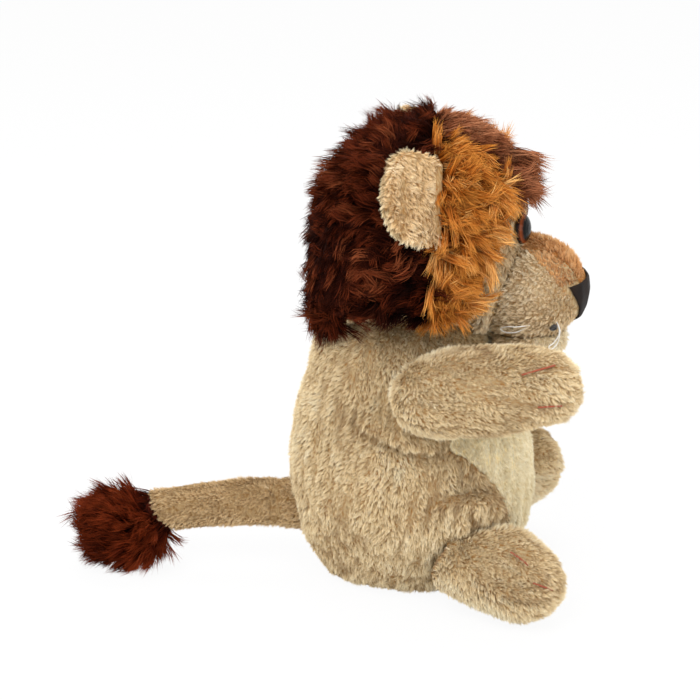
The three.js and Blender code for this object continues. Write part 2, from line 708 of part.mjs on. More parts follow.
function headPieces() {
  const under = underHead();
  const skinBase = headForm(gap, 16, 10);
  const shell = (pile) => headForm(pile).subtract(skinBase).subtract(under);
  const behind = block(point(-big, -big, -big), point(earSeam - gap, big, big));
  const ears = [1, -1].map((layer) => earLayerGeometry(layer, gap));
  const earCuts = [...ears, ...ears.map(mirrored)].map(solidOf);
  const crown = crownCutter(0);
  const ruffLayer = shell(ruffPile).intersect(ruffCutter(0));
  const rightHalf = block(point(-big, -big, -big), point(big, 0, big));
  const eye = eyeBores();
  const eyeCuts = (bore) => [solidOf(geometryOf(bore)), solidOf(mirrored(geometryOf(bore)))];
  const facePlate = shell(facePile).intersect(
    block(point(earSeam, -big, -big), point(big, big, big)),
  );
  const face = cutBy(facePlate, [
    crownCutter(gap),
    ruffCutter(gap),
    ...eyeCuts(eye.stem),
    ...eyeCuts(eye.seat),
  ]);
  const stallWay = rod(pivot, point(pivot.x, 0, stallTop), stallRadius + liningWall + gap);
  const stuffing = cutBy(headForm(0, 16, 10), [
    under,
    stallWay,
    ...eyeCuts(eye.pocket),
  ]);
  const stall = rod(pivot, point(pivot.x, 0, stallTop - gap), stallRadius + liningWall)
    .subtract(rod(pivot, point(pivot.x, 0, stallTop - gap - liningWall), stallRadius))
    .subtract(ball(pivot, headSocket));
  const headOuter = headForm(facePile + gap);
  const nose = muzzleForm(nosePile).subtract(muzzleForm(gap)).intersect(noseCutter(0));
  const chinEgg = egg(
    point(chinForward, 0, chinHeight),
    point(chinDepth, chinWidth, chinRise),
    18,
    10,
  );
  const muzzle = muzzleForm(0).subtract(headOuter).subtract(ball(pivot, headSocket));
  const bridge = muzzle.intersect(bridgeCutter(0));
  const cheeks = muzzle.subtract(bridgeCutter(gap));
  const nods = [-nodDown, -nodDown / 2].map((angle) => swungTorso(pivot, angle, gap));
  return {
    stuffing: largest(stuffing),
    stall: largest(stall),
    face: largest(face),
    maneBack: largest(cutBy(shell(manePile).intersect(behind), earCuts)),
    ruff: largest(cutBy(ruffLayer.intersect(rightHalf), [crownCutter(gap), ...earCuts])),
    crown: largest(cutBy(shell(crownPile).intersect(crown), earCuts)),
    bridge: largest(bridge),
    cheek: largest(cheeks.intersect(block(point(-big, -big, -big), point(big, -gap / 2, big)))),
    chin: largest(cutBy(chinEgg, [headOuter, muzzleForm(gap), ball(pivot, headSocket), ...nods])),
    nose: largest(nose),
    earFront: solidOf(earLayerGeometry(1, 0)).subtract(skinBase),
    earBack: solidOf(earLayerGeometry(-1, 0)).subtract(skinBase),
  };
}

// Finishes
const cloth = (colour, roughness = 0.95) =>
  new THREE.MeshStandardMaterial({ color: colour, roughness, metalness: 0 });
const tanPlush = cloth("#c9a67c");
const creamPlush = cloth("#ded3ae");
const facePlush = cloth("#cdb48c");
const brownFur = cloth("#5a2712");
const goldFur = cloth("#b9762f");
const bridgePlush = cloth("#c89a66");
const earPlush = cloth("#dcc595");
const noseSatin = cloth("#2a1a12", 0.5);
const eyePlastic = cloth("#1a1210", 0.15);
const washerPlastic = cloth("#e8e8e4", 0.5);
const liningTricot = cloth("#b99a72", 0.8);
const fillWhite = cloth("#f0eee8");
const threadWhite = cloth("#f4f2ea", 0.7);

// Assembly: right pieces are modelled, and left ones are the same meshes in a mirrored group
const puppet = new THREE.Group();
const leftSide = new THREE.Group();
leftSide.scale.y = -1;
puppet.add(leftSide);

function add(name, form, material) {
  const geometry = form.isBufferGeometry ? form : geometryOf(form);
  const mesh = new THREE.Mesh(geometry, material);
  mesh.name = name;
  puppet.add(mesh);
  return mesh;
}

function addLeft(name, geometry, material) {
  const mesh = new THREE.Mesh(geometry, material);
  mesh.name = name;
  leftSide.add(mesh);
}

// A pair's names come from a pattern such as ear_SIDE_front.
function addPair(pattern, form, material) {
  const right = add(pattern.replace("SIDE", "right"), form, material);
  addLeft(pattern.replace("SIDE", "left"), right.geometry, material);
}

const torso = torsoPieces();
add("belly_panel", torso.belly, creamPlush);
add("side_panel_right", torso.sidePanels[0], tanPlush);
add("side_panel_left", torso.sidePanels[1], tanPlush);
add("hem_band", torso.hem, liningTricot);
add("hand_lining", torso.lining, liningTricot);

const upright = towards(point(0, 0, 1));
add("neck_seam", seamRing(pivot, domeRadius + ballGap, neckSeamFrom, neckSeamTo, upright, 28), tanPlush);

const head = headPieces();
add("head_stuffing", head.stuffing, fillWhite);
add("head_finger_stall", head.stall, liningTricot);
add("face_panel", head.face, facePlush);
add("mane_back", head.maneBack, brownFur);
addPair("ruff_SIDE", head.ruff, goldFur);
add("crown_strip", head.crown, brownFur);
add("muzzle_bridge", head.bridge, bridgePlush);
addPair("cheek_SIDE", head.cheek, facePlush);
add("chin", head.chin, facePlush);
add("nose", head.nose, noseSatin);
addPair("eye_SIDE", eyeGeometry(), eyePlastic);
addPair("eye_washer_SIDE", washerGeometry(), washerPlastic);
addPair("ear_SIDE_front", head.earFront, earPlush);
addPair("ear_SIDE_back", head.earBack, tanPlush);
const whiskerLift = whiskerRadius + gap / 4;
const rearWhisker = muzzlePoint(whiskerRearForward, muzzleHeight - whiskerRearDrop, whiskerLift);
const frontWhisker = muzzlePoint(whiskerFrontForward, muzzleHeight - whiskerFrontDrop, whiskerLift);
const backward = point(-1, 0, 0).addScaledVector(rearWhisker.way, 0.55).normalize();
const downward = point(0, 0, -1).addScaledVector(frontWhisker.way, 0.35).normalize();
addPair("whisker_SIDE_rear", whiskerGeometry(rearWhisker.at, backward, rearWhisker.way), threadWhite);
addPair("whisker_SIDE_front", whiskerGeometry(frontWhisker.at, downward, frontWhisker.way), threadWhite);

const arm = armPieces();
addPair("arm_SIDE", arm.skin, tanPlush);
addPair("arm_SIDE_finger_stall", arm.stall, liningTricot);
addPair("paw_SIDE_filling", arm.filling, fillWhite);
const cuffRadius = (armRoot - skinWall - gap - liningWall) * cuffShare - seamWall;
const armSeam = seamRing(armJoint, cuffRadius, 35, 62, towards(point(0, 1, 0)), 18);
addPair("shoulder_seam_SIDE", armSeam, tanPlush);

const leg = legPieces();
// the left leg is the right one mirrored, and raised about its hip
const raised = (form) => {
  const geometry = geometryOf(form).translate(-legJoint.x, -legJoint.y, -legJoint.z);
  return geometry.rotateY(-leftLegLift * degrees).translate(legJoint.x, legJoint.y, legJoint.z);
};
add("leg_right", leg.skin, tanPlush);
add("leg_right_filling", leg.filling, fillWhite);
addLeft("leg_left", raised(leg.skin), tanPlush);
addLeft("leg_left_filling", raised(leg.filling), fillWhite);

const tail = tailPieces();
const tailSeam = seamRing(tailJoint, tailRoot + ballGap, 22, 42, towards(point(1, 0, 0)), 14);
add("tail_seam", tailSeam, tanPlush);
add("tail_sleeve", tail.sleeve, tanPlush);
add("tail_filling", tail.filling, fillWhite);
add("tail_tuft", tail.tuft, brownFur);

// The origin goes to the middle of the box's underside
const box = new THREE.Box3().setFromObject(puppet);
const middle = box.getCenter(new THREE.Vector3());
for (const piece of [...puppet.children]) piece.position.x -= middle.x;
for (const piece of [...puppet.children]) piece.position.z -= box.min.z;

// Where the sewn joints turn, for whoever poses the puppet
const seated = (place) => place.clone().sub(point(middle.x, 0, box.min.z)).toArray();
puppet.userData.joints = {
  neck: seated(pivot),
  shoulder_right: seated(armJoint),
  hip_right: seated(legJoint),
  tail: seated(tailJoint),
  arm_way: armWay.toArray(),
};

export default puppet;
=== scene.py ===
import json
import math
import bmesh
import bpy
import numpy as np
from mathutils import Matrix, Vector
from mathutils.bvhtree import BVHTree


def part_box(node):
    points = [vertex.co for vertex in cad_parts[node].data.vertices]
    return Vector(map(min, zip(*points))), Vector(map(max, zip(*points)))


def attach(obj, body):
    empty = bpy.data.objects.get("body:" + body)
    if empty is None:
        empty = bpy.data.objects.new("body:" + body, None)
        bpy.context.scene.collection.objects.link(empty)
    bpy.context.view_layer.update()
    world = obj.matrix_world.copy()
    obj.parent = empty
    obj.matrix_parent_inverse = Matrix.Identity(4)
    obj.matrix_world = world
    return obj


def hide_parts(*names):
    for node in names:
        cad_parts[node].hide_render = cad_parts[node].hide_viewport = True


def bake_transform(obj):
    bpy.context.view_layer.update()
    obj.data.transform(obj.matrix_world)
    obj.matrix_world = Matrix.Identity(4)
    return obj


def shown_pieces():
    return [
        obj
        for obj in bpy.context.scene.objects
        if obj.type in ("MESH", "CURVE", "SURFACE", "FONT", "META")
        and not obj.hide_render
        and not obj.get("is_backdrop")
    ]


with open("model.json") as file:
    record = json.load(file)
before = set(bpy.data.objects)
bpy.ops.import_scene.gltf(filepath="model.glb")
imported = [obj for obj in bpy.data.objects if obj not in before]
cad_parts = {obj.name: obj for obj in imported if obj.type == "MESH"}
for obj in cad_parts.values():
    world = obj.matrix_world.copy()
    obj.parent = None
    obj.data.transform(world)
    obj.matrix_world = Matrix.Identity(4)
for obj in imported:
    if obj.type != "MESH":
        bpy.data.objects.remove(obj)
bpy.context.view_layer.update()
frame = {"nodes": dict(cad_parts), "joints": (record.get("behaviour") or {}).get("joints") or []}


# helpers for meshes

def pick(piece):
    bpy.ops.object.select_all(action="DESELECT")
    piece.select_set(True)
    bpy.context.view_layer.objects.active = piece
    return piece


def newPiece(name, mesh):
    piece = bpy.data.objects.new(name, mesh)
    bpy.context.scene.collection.objects.link(piece)
    return pick(piece)


def points(piece):
    found = np.zeros(len(piece.data.vertices) * 3)
    piece.data.vertices.foreach_get("co", found)
    return found.reshape(-1, 3)


def setPoints(piece, places):
    piece.data.vertices.foreach_set("co", np.ascontiguousarray(places, dtype=np.float32).ravel())
    piece.data.update()


def normals(piece):
    found = np.zeros(len(piece.data.vertices) * 3, dtype=np.float32)
    piece.data.vertex_normals.foreach_get("vector", found)
    return found.reshape(-1, 3).astype(float)


def treeOf(mesh):  # finds a mesh's nearest point, or where a ray meets it
    return BVHTree.FromPolygons([v.co for v in mesh.vertices], [p.vertices for p in mesh.polygons])


def unit(rows):
    return rows / np.maximum(np.linalg.norm(rows, axis=1, keepdims=True), 1e-9)


def softNoise(places, scale, seed, count=18):  # smooth noise of about -1 to 1, from a few crossed waves
    random = np.random.default_rng(seed)
    waves = random.normal(size=(count, 3)) / scale
    starts = random.uniform(0, 2 * math.pi, count)
    return np.sin(places @ waves.T + starts).sum(axis=1) / math.sqrt(count)


def mirrorLine(line):
    return [(x, -y, z) for x, y, z in line]


def lineNearest(places, line):  # for each place: how far a line is, its nearest point, how far along that lies
    line = np.array(line)
    best = np.full(len(places), 1e9)
    near, along = np.zeros_like(places), np.zeros(len(places))
    for k, (a, b) in enumerate(zip(line[:-1], line[1:])):
        way = b - a
        share = np.clip((places - a) @ way / max(way @ way, 1e-12), 0, 1)
        spot = a + share[:, None] * way
        far = np.linalg.norm(places - spot, axis=1)
        closer = far < best
        best = np.where(closer, far, best)
        near = np.where(closer[:, None], spot, near)
        along = np.where(closer, (k + share) / (len(line) - 1), along)
    return best, near, along


def lineDistance(places, line):
    return lineNearest(places, line)[0]


# camera, at the photograph's angle

view = {"azimuth": 3.0, "elevation": 20.0, "distance": 0.9, "target": (0.0128, 0.0, 0.1215), "lens": 92.6,
        "sensor": 36, "pixels": 700, "clip": (0.05, 20)}


def makeCamera():
    turn, rise = math.radians(view["azimuth"]), math.radians(view["elevation"])
    away = Vector((math.sin(turn) * math.cos(rise), -math.cos(turn) * math.cos(rise), math.sin(rise)))
    place = Vector(view["target"]) + away * view["distance"]
    bpy.ops.object.camera_add(location=place)
    camera = bpy.context.object
    camera.rotation_mode = "QUATERNION"
    camera.rotation_quaternion = (-away).to_track_quat("-Z", "Y")
    camera.data.sensor_width = view["sensor"]
    camera.data.lens = view["lens"]
    camera.data.clip_start, camera.data.clip_end = view["clip"]
    bpy.context.scene.camera = camera
    bpy.context.view_layer.update()
    return camera


camera = makeCamera()
focal = view["lens"] / view["sensor"] * view["pixels"]  # in pixels
middlePixel = view["pixels"] / 2


def sightLine(x, y):  # the line of sight through a pixel of the picture
    turn = camera.matrix_world.to_3x3()
    way = turn @ Vector((x - middlePixel, middlePixel - y, -focal))
    return camera.matrix_world.translation, way.normalized()


def pixelsOf(places):  # where places fall in the picture
    turn = np.array(camera.matrix_world.inverted())
    seen = np.asarray(places) @ turn[:3, :3].T + turn[:3, 3]
    return np.stack([middlePixel + focal * seen[:, 0] / -seen[:, 2],
                     middlePixel - focal * seen[:, 1] / -seen[:, 2]], axis=1)


def onSkin(piece, pixels, lift=0.0):  # the places of a skin that pixels of the picture show
    tree = treeOf(piece.data)
    found = []
    for x, y in pixels:
        start, way = sightLine(x, y)
        hit, normal = tree.ray_cast(start, way)[:2]
        if hit is None:
            hit, normal = tree.find_nearest(start + way * view["distance"])[:2]
        found.append(tuple(hit + normal * lift))
    return found


print("camera placed")


# materials

def tone(red, green, blue):  # a colour as a picture's 0 to 255 values
    made = []
    for value in (red, green, blue):
        part = value / 255
        made.append(part / 12.92 if part <= 0.04045 else ((part + 0.055) / 1.055) ** 2.4)
    return (*made, 1.0)


def grey(value):
    return tone(value, value, value)


def dimmed(colour, share):
    return (*(part * share for part in colour[:3]), 1.0)


class Wire:  # one socket, with plain maths
    def __init__(self, look, socket):
        self.look, self.socket = look, socket

    def maths(self, operation, first, second):
        return self.look.node("ShaderNodeMath", {"operation": operation}, {0: first, 1: second})

    def __add__(self, other):
        return self.maths("ADD", self, other)

    def __radd__(self, other):
        return self.maths("ADD", other, self)

    def __sub__(self, other):
        return self.maths("SUBTRACT", self, other)

    def __rsub__(self, other):
        return self.maths("SUBTRACT", other, self)

    def __mul__(self, other):
        return self.maths("MULTIPLY", self, other)

    def __rmul__(self, other):
        return self.maths("MULTIPLY", other, self)

    def __truediv__(self, other):
        return self.maths("DIVIDE", self, other)

    def __rtruediv__(self, other):
        return self.maths("DIVIDE", other, self)

    def __pow__(self, other):
        return self.maths("POWER", self, other)


class NodeSet:  # the nodes of a material or of the world
    def __init__(self, owner):
        owner.use_nodes = True
        self.tree = owner.node_tree

    def node(self, kind, settings=None, sockets=None, output=0):
        made = self.tree.nodes.new(kind)
        for name, value in (settings or {}).items():
            if name == "stops":
                while len(made.color_ramp.elements) < len(value):
                    made.color_ramp.elements.new(0.5)
                for stop, (place, colour) in zip(made.color_ramp.elements, value):
                    stop.position, stop.color = place, colour
            else:
                setattr(made, name, value)
        for name, value in (sockets or {}).items():
            self.feed(made.inputs[name], value)
        return Wire(self, made.outputs[output])

    def feed(self, socket, value):
        if isinstance(value, Wire):
            self.tree.links.new(value.socket, socket)
        else:
            socket.default_value = value

    def fill(self, kept, sockets):  # values or links for a node that was there from the start
        for name, value in sockets.items():
            self.feed(self.tree.nodes[kept].inputs[name], value)

    def seenRay(self):  # 1 for what the camera sees, also in a reflection or through something clear
        camera, glossy, clear = (self.node("ShaderNodeLightPath", output=f"Is {kind} Ray")
                                 for kind in ("Camera", "Glossy", "Transmission"))
        return self.node("ShaderNodeMath", {"operation": "MINIMUM"}, {0: camera + glossy + clear, 1: 1.0})


class Look(NodeSet):  # one material
    def __init__(self, name):
        self.material = bpy.data.materials.new(name)
        super().__init__(self.material)

    def surface(self, **sockets):
        self.fill("Principled BSDF", {name.replace("_", " "): value for name, value in sockets.items()})
        return self.material

    def place(self):
        return self.node("ShaderNodeTexCoord", output="Object")

    def mixed(self, share, first, second):
        return self.node("ShaderNodeMix", {"data_type": "RGBA"}, {0: share, 6: first, 7: second}, 2)

    def noise(self, scale, detail=3.0, place=None):
        return self.node("ShaderNodeTexNoise", {},
                         {"Vector": place or self.place(), "Scale": scale, "Detail": detail})

    def wave(self, bands, scale, distortion, detail=2.0):
        return self.node("ShaderNodeTexWave", {"bands_direction": bands},
                         {"Vector": self.place(), "Scale": scale, "Distortion": distortion, "Detail": detail})

    def ramp(self, value, stops):
        return self.node("ShaderNodeValToRGB", {"stops": stops}, {"Fac": value})

    def bump(self, height, strength, distance):
        return self.node("ShaderNodeBump", {}, {"Height": height, "Strength": strength, "Distance": distance})


def pileLook(name, deep, middle, tip, pale, sheen=0.08, rough=0.85, gloss=0.15):
    look = Look(name)  # strands: v runs from root to tip, u differs from strand to strand
    strand = look.node("ShaderNodeUVMap", {"uv_map": "OFBake"})
    across = look.node("ShaderNodeSeparateXYZ", {}, {0: strand}, 0)
    along = look.node("ShaderNodeSeparateXYZ", {}, {0: strand}, 1)
    # painted shade: each strand is darkest at its root, deep among the strands; u darkens or pales whole strands,
    # painted crease shade included
    body = look.ramp(along, [(0.0, deep), (0.5, middle), (1.0, tip)])
    light = look.ramp(across, [(0.35, grey(0)), (0.65, grey(90)), (1.0, grey(225))])
    dark = look.ramp(across, [(0.0, grey(215)), (0.42, grey(0))])
    colour = look.mixed(light, look.mixed(dark, body, deep), pale)
    return look.surface(Base_Color=colour, Roughness=rough, Specular_IOR_Level=gloss, Sheen_Weight=sheen,
                        Sheen_Roughness=0.6)


def napLook(name, deep, middle, lie=(1.0, 1.0, 0.3)):  # the dense foot of a pile, brushed along its lie
    look = Look(name)
    brushed = look.node("ShaderNodeVectorMath", {"operation": "MULTIPLY"}, {0: look.place(), 1: lie})
    streaks = look.noise(900, 3, brushed)
    patches = look.noise(160, 3)
    colour = look.ramp(streaks * 0.75 + patches * 0.25, [(0.36, deep), (0.62, middle)])
    return look.surface(Base_Color=colour, Roughness=0.95, Specular_IOR_Level=0.1,
                        Normal=look.bump(streaks, 0.8, 0.0012))


tones = {  # deep in the pile, darkened as painted shade among the strands; along it, its tip, and its palest strands
    "tan": [tone(140, 98, 48), tone(229, 203, 155), tone(250, 236, 200), tone(254, 246, 221)],
    # the tail's tan, darker than the body's: painted shade on the tail
    "tail": [tone(116, 83, 44), tone(208, 175, 126), tone(234, 208, 164), tone(244, 224, 186)],
    "cream": [tone(220, 198, 146), tone(248, 236, 202), tone(252, 245, 222), tone(254, 250, 235)],
    "face": [tone(156, 120, 74), tone(238, 212, 168), tone(251, 237, 206), tone(254, 246, 224)],
    "chin": [tone(164, 136, 92), tone(242, 224, 186), tone(246, 234, 206), tone(250, 243, 222)],
    "bridge": [tone(148, 84, 32), tone(224, 168, 104), tone(242, 200, 144), tone(248, 218, 170)],
    "ear": [tone(150, 104, 50), tone(238, 204, 150), tone(250, 230, 190), tone(253, 240, 210)],
    "gold": [tone(50, 17, 1), tone(170, 88, 20), tone(222, 150, 66), tone(244, 196, 122)],
    "brown": [tone(8, 1, 0), tone(50, 13, 4), tone(104, 42, 19), tone(146, 78, 46)],
    # a darker copy of the brown mane fur for the mane's under-layer: painted shade under the locks
    "shadedBrown": [tone(4, 0, 0), tone(24, 5, 1), tone(50, 15, 6), tone(86, 34, 16)],
    # a lighter copy of the brown mane fur for the top of the head: painted light from above
    "crown": [tone(40, 14, 6), tone(116, 60, 34), tone(164, 104, 70), tone(196, 138, 100)],
    "tuft": [tone(14, 2, 1), tone(84, 26, 9), tone(130, 52, 22), tone(164, 80, 42)],
}
looks = {}
footShade = {"short": 0.55, "long": 0.7}  # how far the foot of a pile is dimmed: painted shade under the strands
longFur = {"sheen": 0.0, "rough": 0.7, "gloss": 0.04}
for fur, (deep, middle, tip, pale) in tones.items():
    long = fur in ("gold", "brown", "shadedBrown", "crown", "tuft")
    looks[f"{fur}Pile"] = pileLook(f"{fur}Pile", deep, middle, tip, pale, **(longFur if long else {}))
    # the nap is dimmed below the pile's colour: painted shade under the strands
    looks[f"{fur}Nap"] = napLook(f"{fur}Nap", deep, dimmed(middle, footShade["long" if long else "short"]))
limbTones = tones["tan"][0], dimmed(tones["tan"][1], footShade["short"])
looks["limbNap"] = napLook("limbNap", *limbTones, (0.3, 1.0, 1.0))


def satinLook():  # the nose: close satin weave with a soft gloss
    look = Look("noseSatin")
    threads = look.wave("Z", 500, 1.5, 1.0)
    cloud = look.noise(160, 3)
    colour = look.ramp(cloud, [(0.3, tone(16, 9, 6)), (0.7, tone(36, 22, 13))])
    return look.surface(Base_Color=colour, Roughness=cloud * 0.2 + 0.5, Specular_IOR_Level=0.12,
                        Normal=look.bump(threads, 0.35, 0.0004))


def knitLook(name, dark, light):  # fine tricot ribs
    look = Look(name)
    ribs, courses = look.wave("Y", 260, 0.8, 1.0), look.wave("Z", 320, 1.2, 1.0)
    knit = ribs * 0.6 + courses * 0.4
    colour = look.ramp(knit, [(0.1, dark), (0.8, light)])
    return look.surface(Base_Color=colour, Roughness=0.8, Sheen_Weight=0.15, Normal=look.bump(knit, 0.4, 0.0005))


def waddingLook():  # loose fibres
    look = Look("wadding")
    fibres = look.noise(420, 8)
    colour = look.ramp(fibres, [(0.3, tone(214, 212, 206)), (0.7, tone(246, 245, 240))])
    return look.surface(Base_Color=colour, Roughness=0.95, Normal=look.bump(fibres, 0.8, 0.002))


def threadLook(name, dark, light):  # twisted sewing thread
    look = Look(name)
    twist = look.wave("DIAGONAL", 900, 0.6)
    colour = look.ramp(twist, [(0.2, dark), (0.7, light)])
    return look.surface(Base_Color=colour, Roughness=0.6, Sheen_Weight=0.2, Normal=look.bump(twist, 0.4, 0.0002))


def mouldedLook(name, dark, light):  # moulded plastic with a faint grain
    look = Look(name)
    grain = look.noise(700, 3)
    colour = look.ramp(grain, [(0.35, dark), (0.65, light)])
    return look.surface(Base_Color=colour, Roughness=grain * 0.2 + 0.35, Normal=look.bump(grain, 0.15, 0.0002))


eyeRing = {"radius": 0.0075, "stops": [(0.0, tone(7, 5, 4)), (0.76, tone(8, 6, 4)), (0.82, tone(70, 28, 6)),
                                       (0.92, tone(126, 56, 12)), (1.0, tone(22, 10, 5))]}


def eyeLook(name, centre, way):  # amber ring round a black pupil, under a clear gloss
    look = Look(name)
    offset = look.node("ShaderNodeVectorMath", {"operation": "SUBTRACT"}, {0: look.place(), 1: centre})
    depth = look.node("ShaderNodeVectorMath", {"operation": "DOT_PRODUCT"}, {0: offset, 1: way}, 1)
    length = look.node("ShaderNodeVectorMath", {"operation": "LENGTH"}, {0: offset}, 1)
    radius = (length * length - depth * depth) ** 0.5 / eyeRing["radius"]
    streaks = look.noise(900, 4)
    iris = look.ramp(radius + streaks * 0.08, eyeRing["stops"])
    return look.surface(Base_Color=iris, Roughness=streaks * 0.06 + 0.14, Specular_IOR_Level=0.12,
                        Coat_Weight=0.04, Coat_Roughness=0.05)


looks["noseSatin"] = satinLook()
looks["lining"] = knitLook("liningTricot", tone(196, 168, 128), tone(224, 200, 164))
looks["wadding"] = waddingLook()
looks["whiteThread"] = threadLook("whiteThread", tone(214, 212, 206), tone(250, 249, 246))
looks["darkThread"] = threadLook("darkThread", tone(14, 12, 11), tone(40, 36, 33))
looks["rustThread"] = threadLook("rustThread", tone(116, 44, 16), tone(166, 74, 32))
looks["washer"] = mouldedLook("washerPlastic", tone(226, 224, 218), tone(240, 239, 234))
print("materials ready")


def finishPiece(piece, body, look, nodes=()):
    piece.data.materials.clear()
    piece.data.materials.append(looks[look])
    if isinstance(body, str):
        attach(piece, body)
    else:  # cloth across a joint: two bodies, and where the bend starts and ends, which nothing reads; the piece is only fixed where it stands
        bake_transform(piece)
    if nodes:
        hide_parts(*nodes)
    return piece


# skins, from the forms of the frame

def merged(name, nodes):
    work = bmesh.new()
    for node in nodes:
        work.from_mesh(frame["nodes"][node].data)
    bmesh.ops.remove_doubles(work, verts=work.verts, dist=1e-6)
    mesh = bpy.data.meshes.new(name)
    work.to_mesh(mesh)
    work.free()
    for layer in list(mesh.uv_layers):
        mesh.uv_layers.remove(layer)
    mesh.materials.clear()
    return newPiece(name, mesh)


def applied(piece, kind, **settings):
    pick(piece)
    modifier = piece.modifiers.new(kind.lower(), kind)
    for name, value in settings.items():
        setattr(modifier, name, value)
    bpy.ops.object.modifier_apply(modifier=modifier.name)


def remeshed(piece, voxel, rounds):
    pick(piece)
    piece.data.remesh_voxel_size = voxel
    bpy.ops.object.voxel_remesh()
    applied(piece, "SMOOTH", factor=0.5, iterations=rounds)
    bpy.ops.object.shade_smooth()
    return piece


def pushed(piece, amount):  # amount is a number for each vertex, outwards
    setPoints(piece, points(piece) + normals(piece) * amount[:, None])


def groove(piece, line, depth, width, swell):  # a sewn line pressed into the outside of a skin
    far = lineDistance(points(piece), line)
    beside = swell * np.exp(-((far - 2.2 * width) / (1.3 * width)) ** 2)
    pushed(piece, (beside - depth * np.exp(-(far / width) ** 2)) * outside[piece.name])


foldShape = {"lip": 0.0016, "under": -0.2, "ends": 0.8}


def fold(piece, line, height, width, way):  # cloth that bags over a crease, on the side that way points to
    places = points(piece)
    far, near, along = lineNearest(places, line)
    over = (places - near) @ np.array(way)
    ends = np.sin(np.pi * np.clip(along, 0, 1)) ** foldShape["ends"]
    lip = np.clip(over / foldShape["lip"], foldShape["under"], 1)
    pushed(piece, height * np.exp(-(far / width) ** 2) * lip * ends * outside[piece.name])


def lumps(piece, seed, height=0.0006, scale=0.008):  # uneven filling under the cloth
    pushed(piece, height * softNoise(points(piece), scale, seed) * outside[piece.name])


def bulge(piece, centre, radius, height):  # a round swelling
    far = np.linalg.norm(points(piece) - np.array(centre), axis=1)
    pushed(piece, height * np.exp(-(far / radius) ** 2) * outside[piece.name])


def stuffed(piece, s, lines=()):  # cloth blown up a little between its seams and its stitched lines
    start = points(piece)
    held = 1 - outside[piece.name]
    for line in lines:
        held = np.maximum(held, lineDistance(start, line) < s["stitch"])
    group = piece.vertex_groups.new(name="held")
    for number, share in enumerate(held):
        group.add([number], float(share), "REPLACE")
    modifier = pick(piece).modifiers.new("cloth", "CLOTH")
    cloth = modifier.settings
    cloth.use_pressure = True
    cloth.uniform_pressure_force = s["pressure"]
    cloth.effector_weights.gravity = 0
    cloth.mass = s["mass"]
    cloth.tension_stiffness = cloth.compression_stiffness = s["tension"]
    cloth.shear_stiffness = s["shear"]
    cloth.bending_stiffness = s["bending"]
    cloth.vertex_group_mass = group.name
    modifier.collision_settings.use_collision = False
    for step in range(1, s["frames"] + 1):
        bpy.context.scene.frame_set(step)
    bpy.ops.object.modifier_apply(modifier=modifier.name)
    bpy.context.scene.frame_set(1)
    piece.vertex_groups.clear()
    moved = points(piece) - start
    far = np.linalg.norm(moved, axis=1)
    setPoints(piece, start + moved * np.minimum(1, s["cap"] / np.maximum(far, 1e-9))[:, None])
    print(piece.name, "blown up by", round(1000 * float(np.percentile(far, 90)), 2), "mm")


# pile: real strands, in small tufts

def openTree(skipped):  # everything of the frame but the nodes that a skin stands for
    places, faces = [], []
    for name, node in frame["nodes"].items():
        if name in skipped:
            continue
        start = len(places)
        places.extend(v.co for v in node.data.vertices)
        faces.extend([start + i for i in p.vertices] for p in node.data.polygons)
    return BVHTree.FromPolygons(places, faces)


outside = {}  # for each skin, the share of each vertex that faces open space, softened
bare = {}  # the same, not softened
freeTest = {"start": 0.0008, "rounds": 3, "low": 0.3, "span": 0.5}


def freeSide(piece, nodes, clear=0.0014):  # 1 where a skin faces clear space, 0 against a neighbour
    back = freeTest["start"]
    tree = openTree(nodes)
    free = np.zeros(len(piece.data.vertices))
    for i, (place, way) in enumerate(zip(points(piece), normals(piece))):
        way = Vector(way)
        free[i] = tree.ray_cast(Vector(place) - way * back, way, clear + back)[0] is None
    bare[piece.name] = free
    edges = np.zeros(len(piece.data.edges) * 2, dtype=np.int32)
    piece.data.edges.foreach_get("vertices", edges)
    edges = edges.reshape(-1, 2)
    ends = np.concatenate([edges[:, 0], edges[:, 1]])
    others = np.concatenate([edges[:, 1], edges[:, 0]])
    degree = np.maximum(np.bincount(ends, minlength=len(free)), 1)
    for step in range(freeTest["rounds"]):
        free = 0.5 * free + 0.5 * np.bincount(ends, free[others], minlength=len(free)) / degree
    outside[piece.name] = np.clip((free - freeTest["low"]) / freeTest["span"], 0, 1)
    return piece


def trimmed(piece, depth):  # takes the pile's height off a skin, where pile will grow
    pushed(piece, -depth * outside[piece.name])
    return piece


def sunk(piece, inner, share):  # draws a skin in towards the filling under it
    tree = treeOf(frame["nodes"][inner].data)
    places = points(piece)
    near = np.array([tree.find_nearest(Vector(place))[0] for place in places])
    setPoints(piece, near + (places - near) * share)
    return piece


def tuftRoots(skin, perArea, seed):  # spread over what is bare of a skin, perArea to a square millimetre
    mesh = skin.data
    mesh.calc_loop_triangles()
    corners = np.zeros(len(mesh.loop_triangles) * 3, dtype=np.int32)
    mesh.loop_triangles.foreach_get("vertices", corners)
    corners = corners.reshape(-1, 3)
    places, ways = points(skin), normals(skin)
    a, b, c = (places[corners[:, i]] for i in range(3))
    area = np.linalg.norm(np.cross(b - a, c - a), axis=1) / 2
    free = bare[skin.name][corners].mean(axis=1)
    weights = np.where(free > 0.6, area, 0).cumsum()
    count = int(weights[-1] * 1e6 * perArea)
    random = np.random.default_rng(seed)
    chosen = np.searchsorted(weights, (np.arange(count) + random.random(count)) / count * weights[-1])
    s, t = random.random((2, count))
    flip = s + t > 1
    s, t = np.where(flip, 1 - s, s)[:, None], np.where(flip, 1 - t, t)[:, None]
    r = 1 - s - t
    root = a[chosen] * r + b[chosen] * s + c[chosen] * t
    way = ways[corners[chosen, 0]] * r + ways[corners[chosen, 1]] * s + ways[corners[chosen, 2]] * t
    return root, unit(way), random


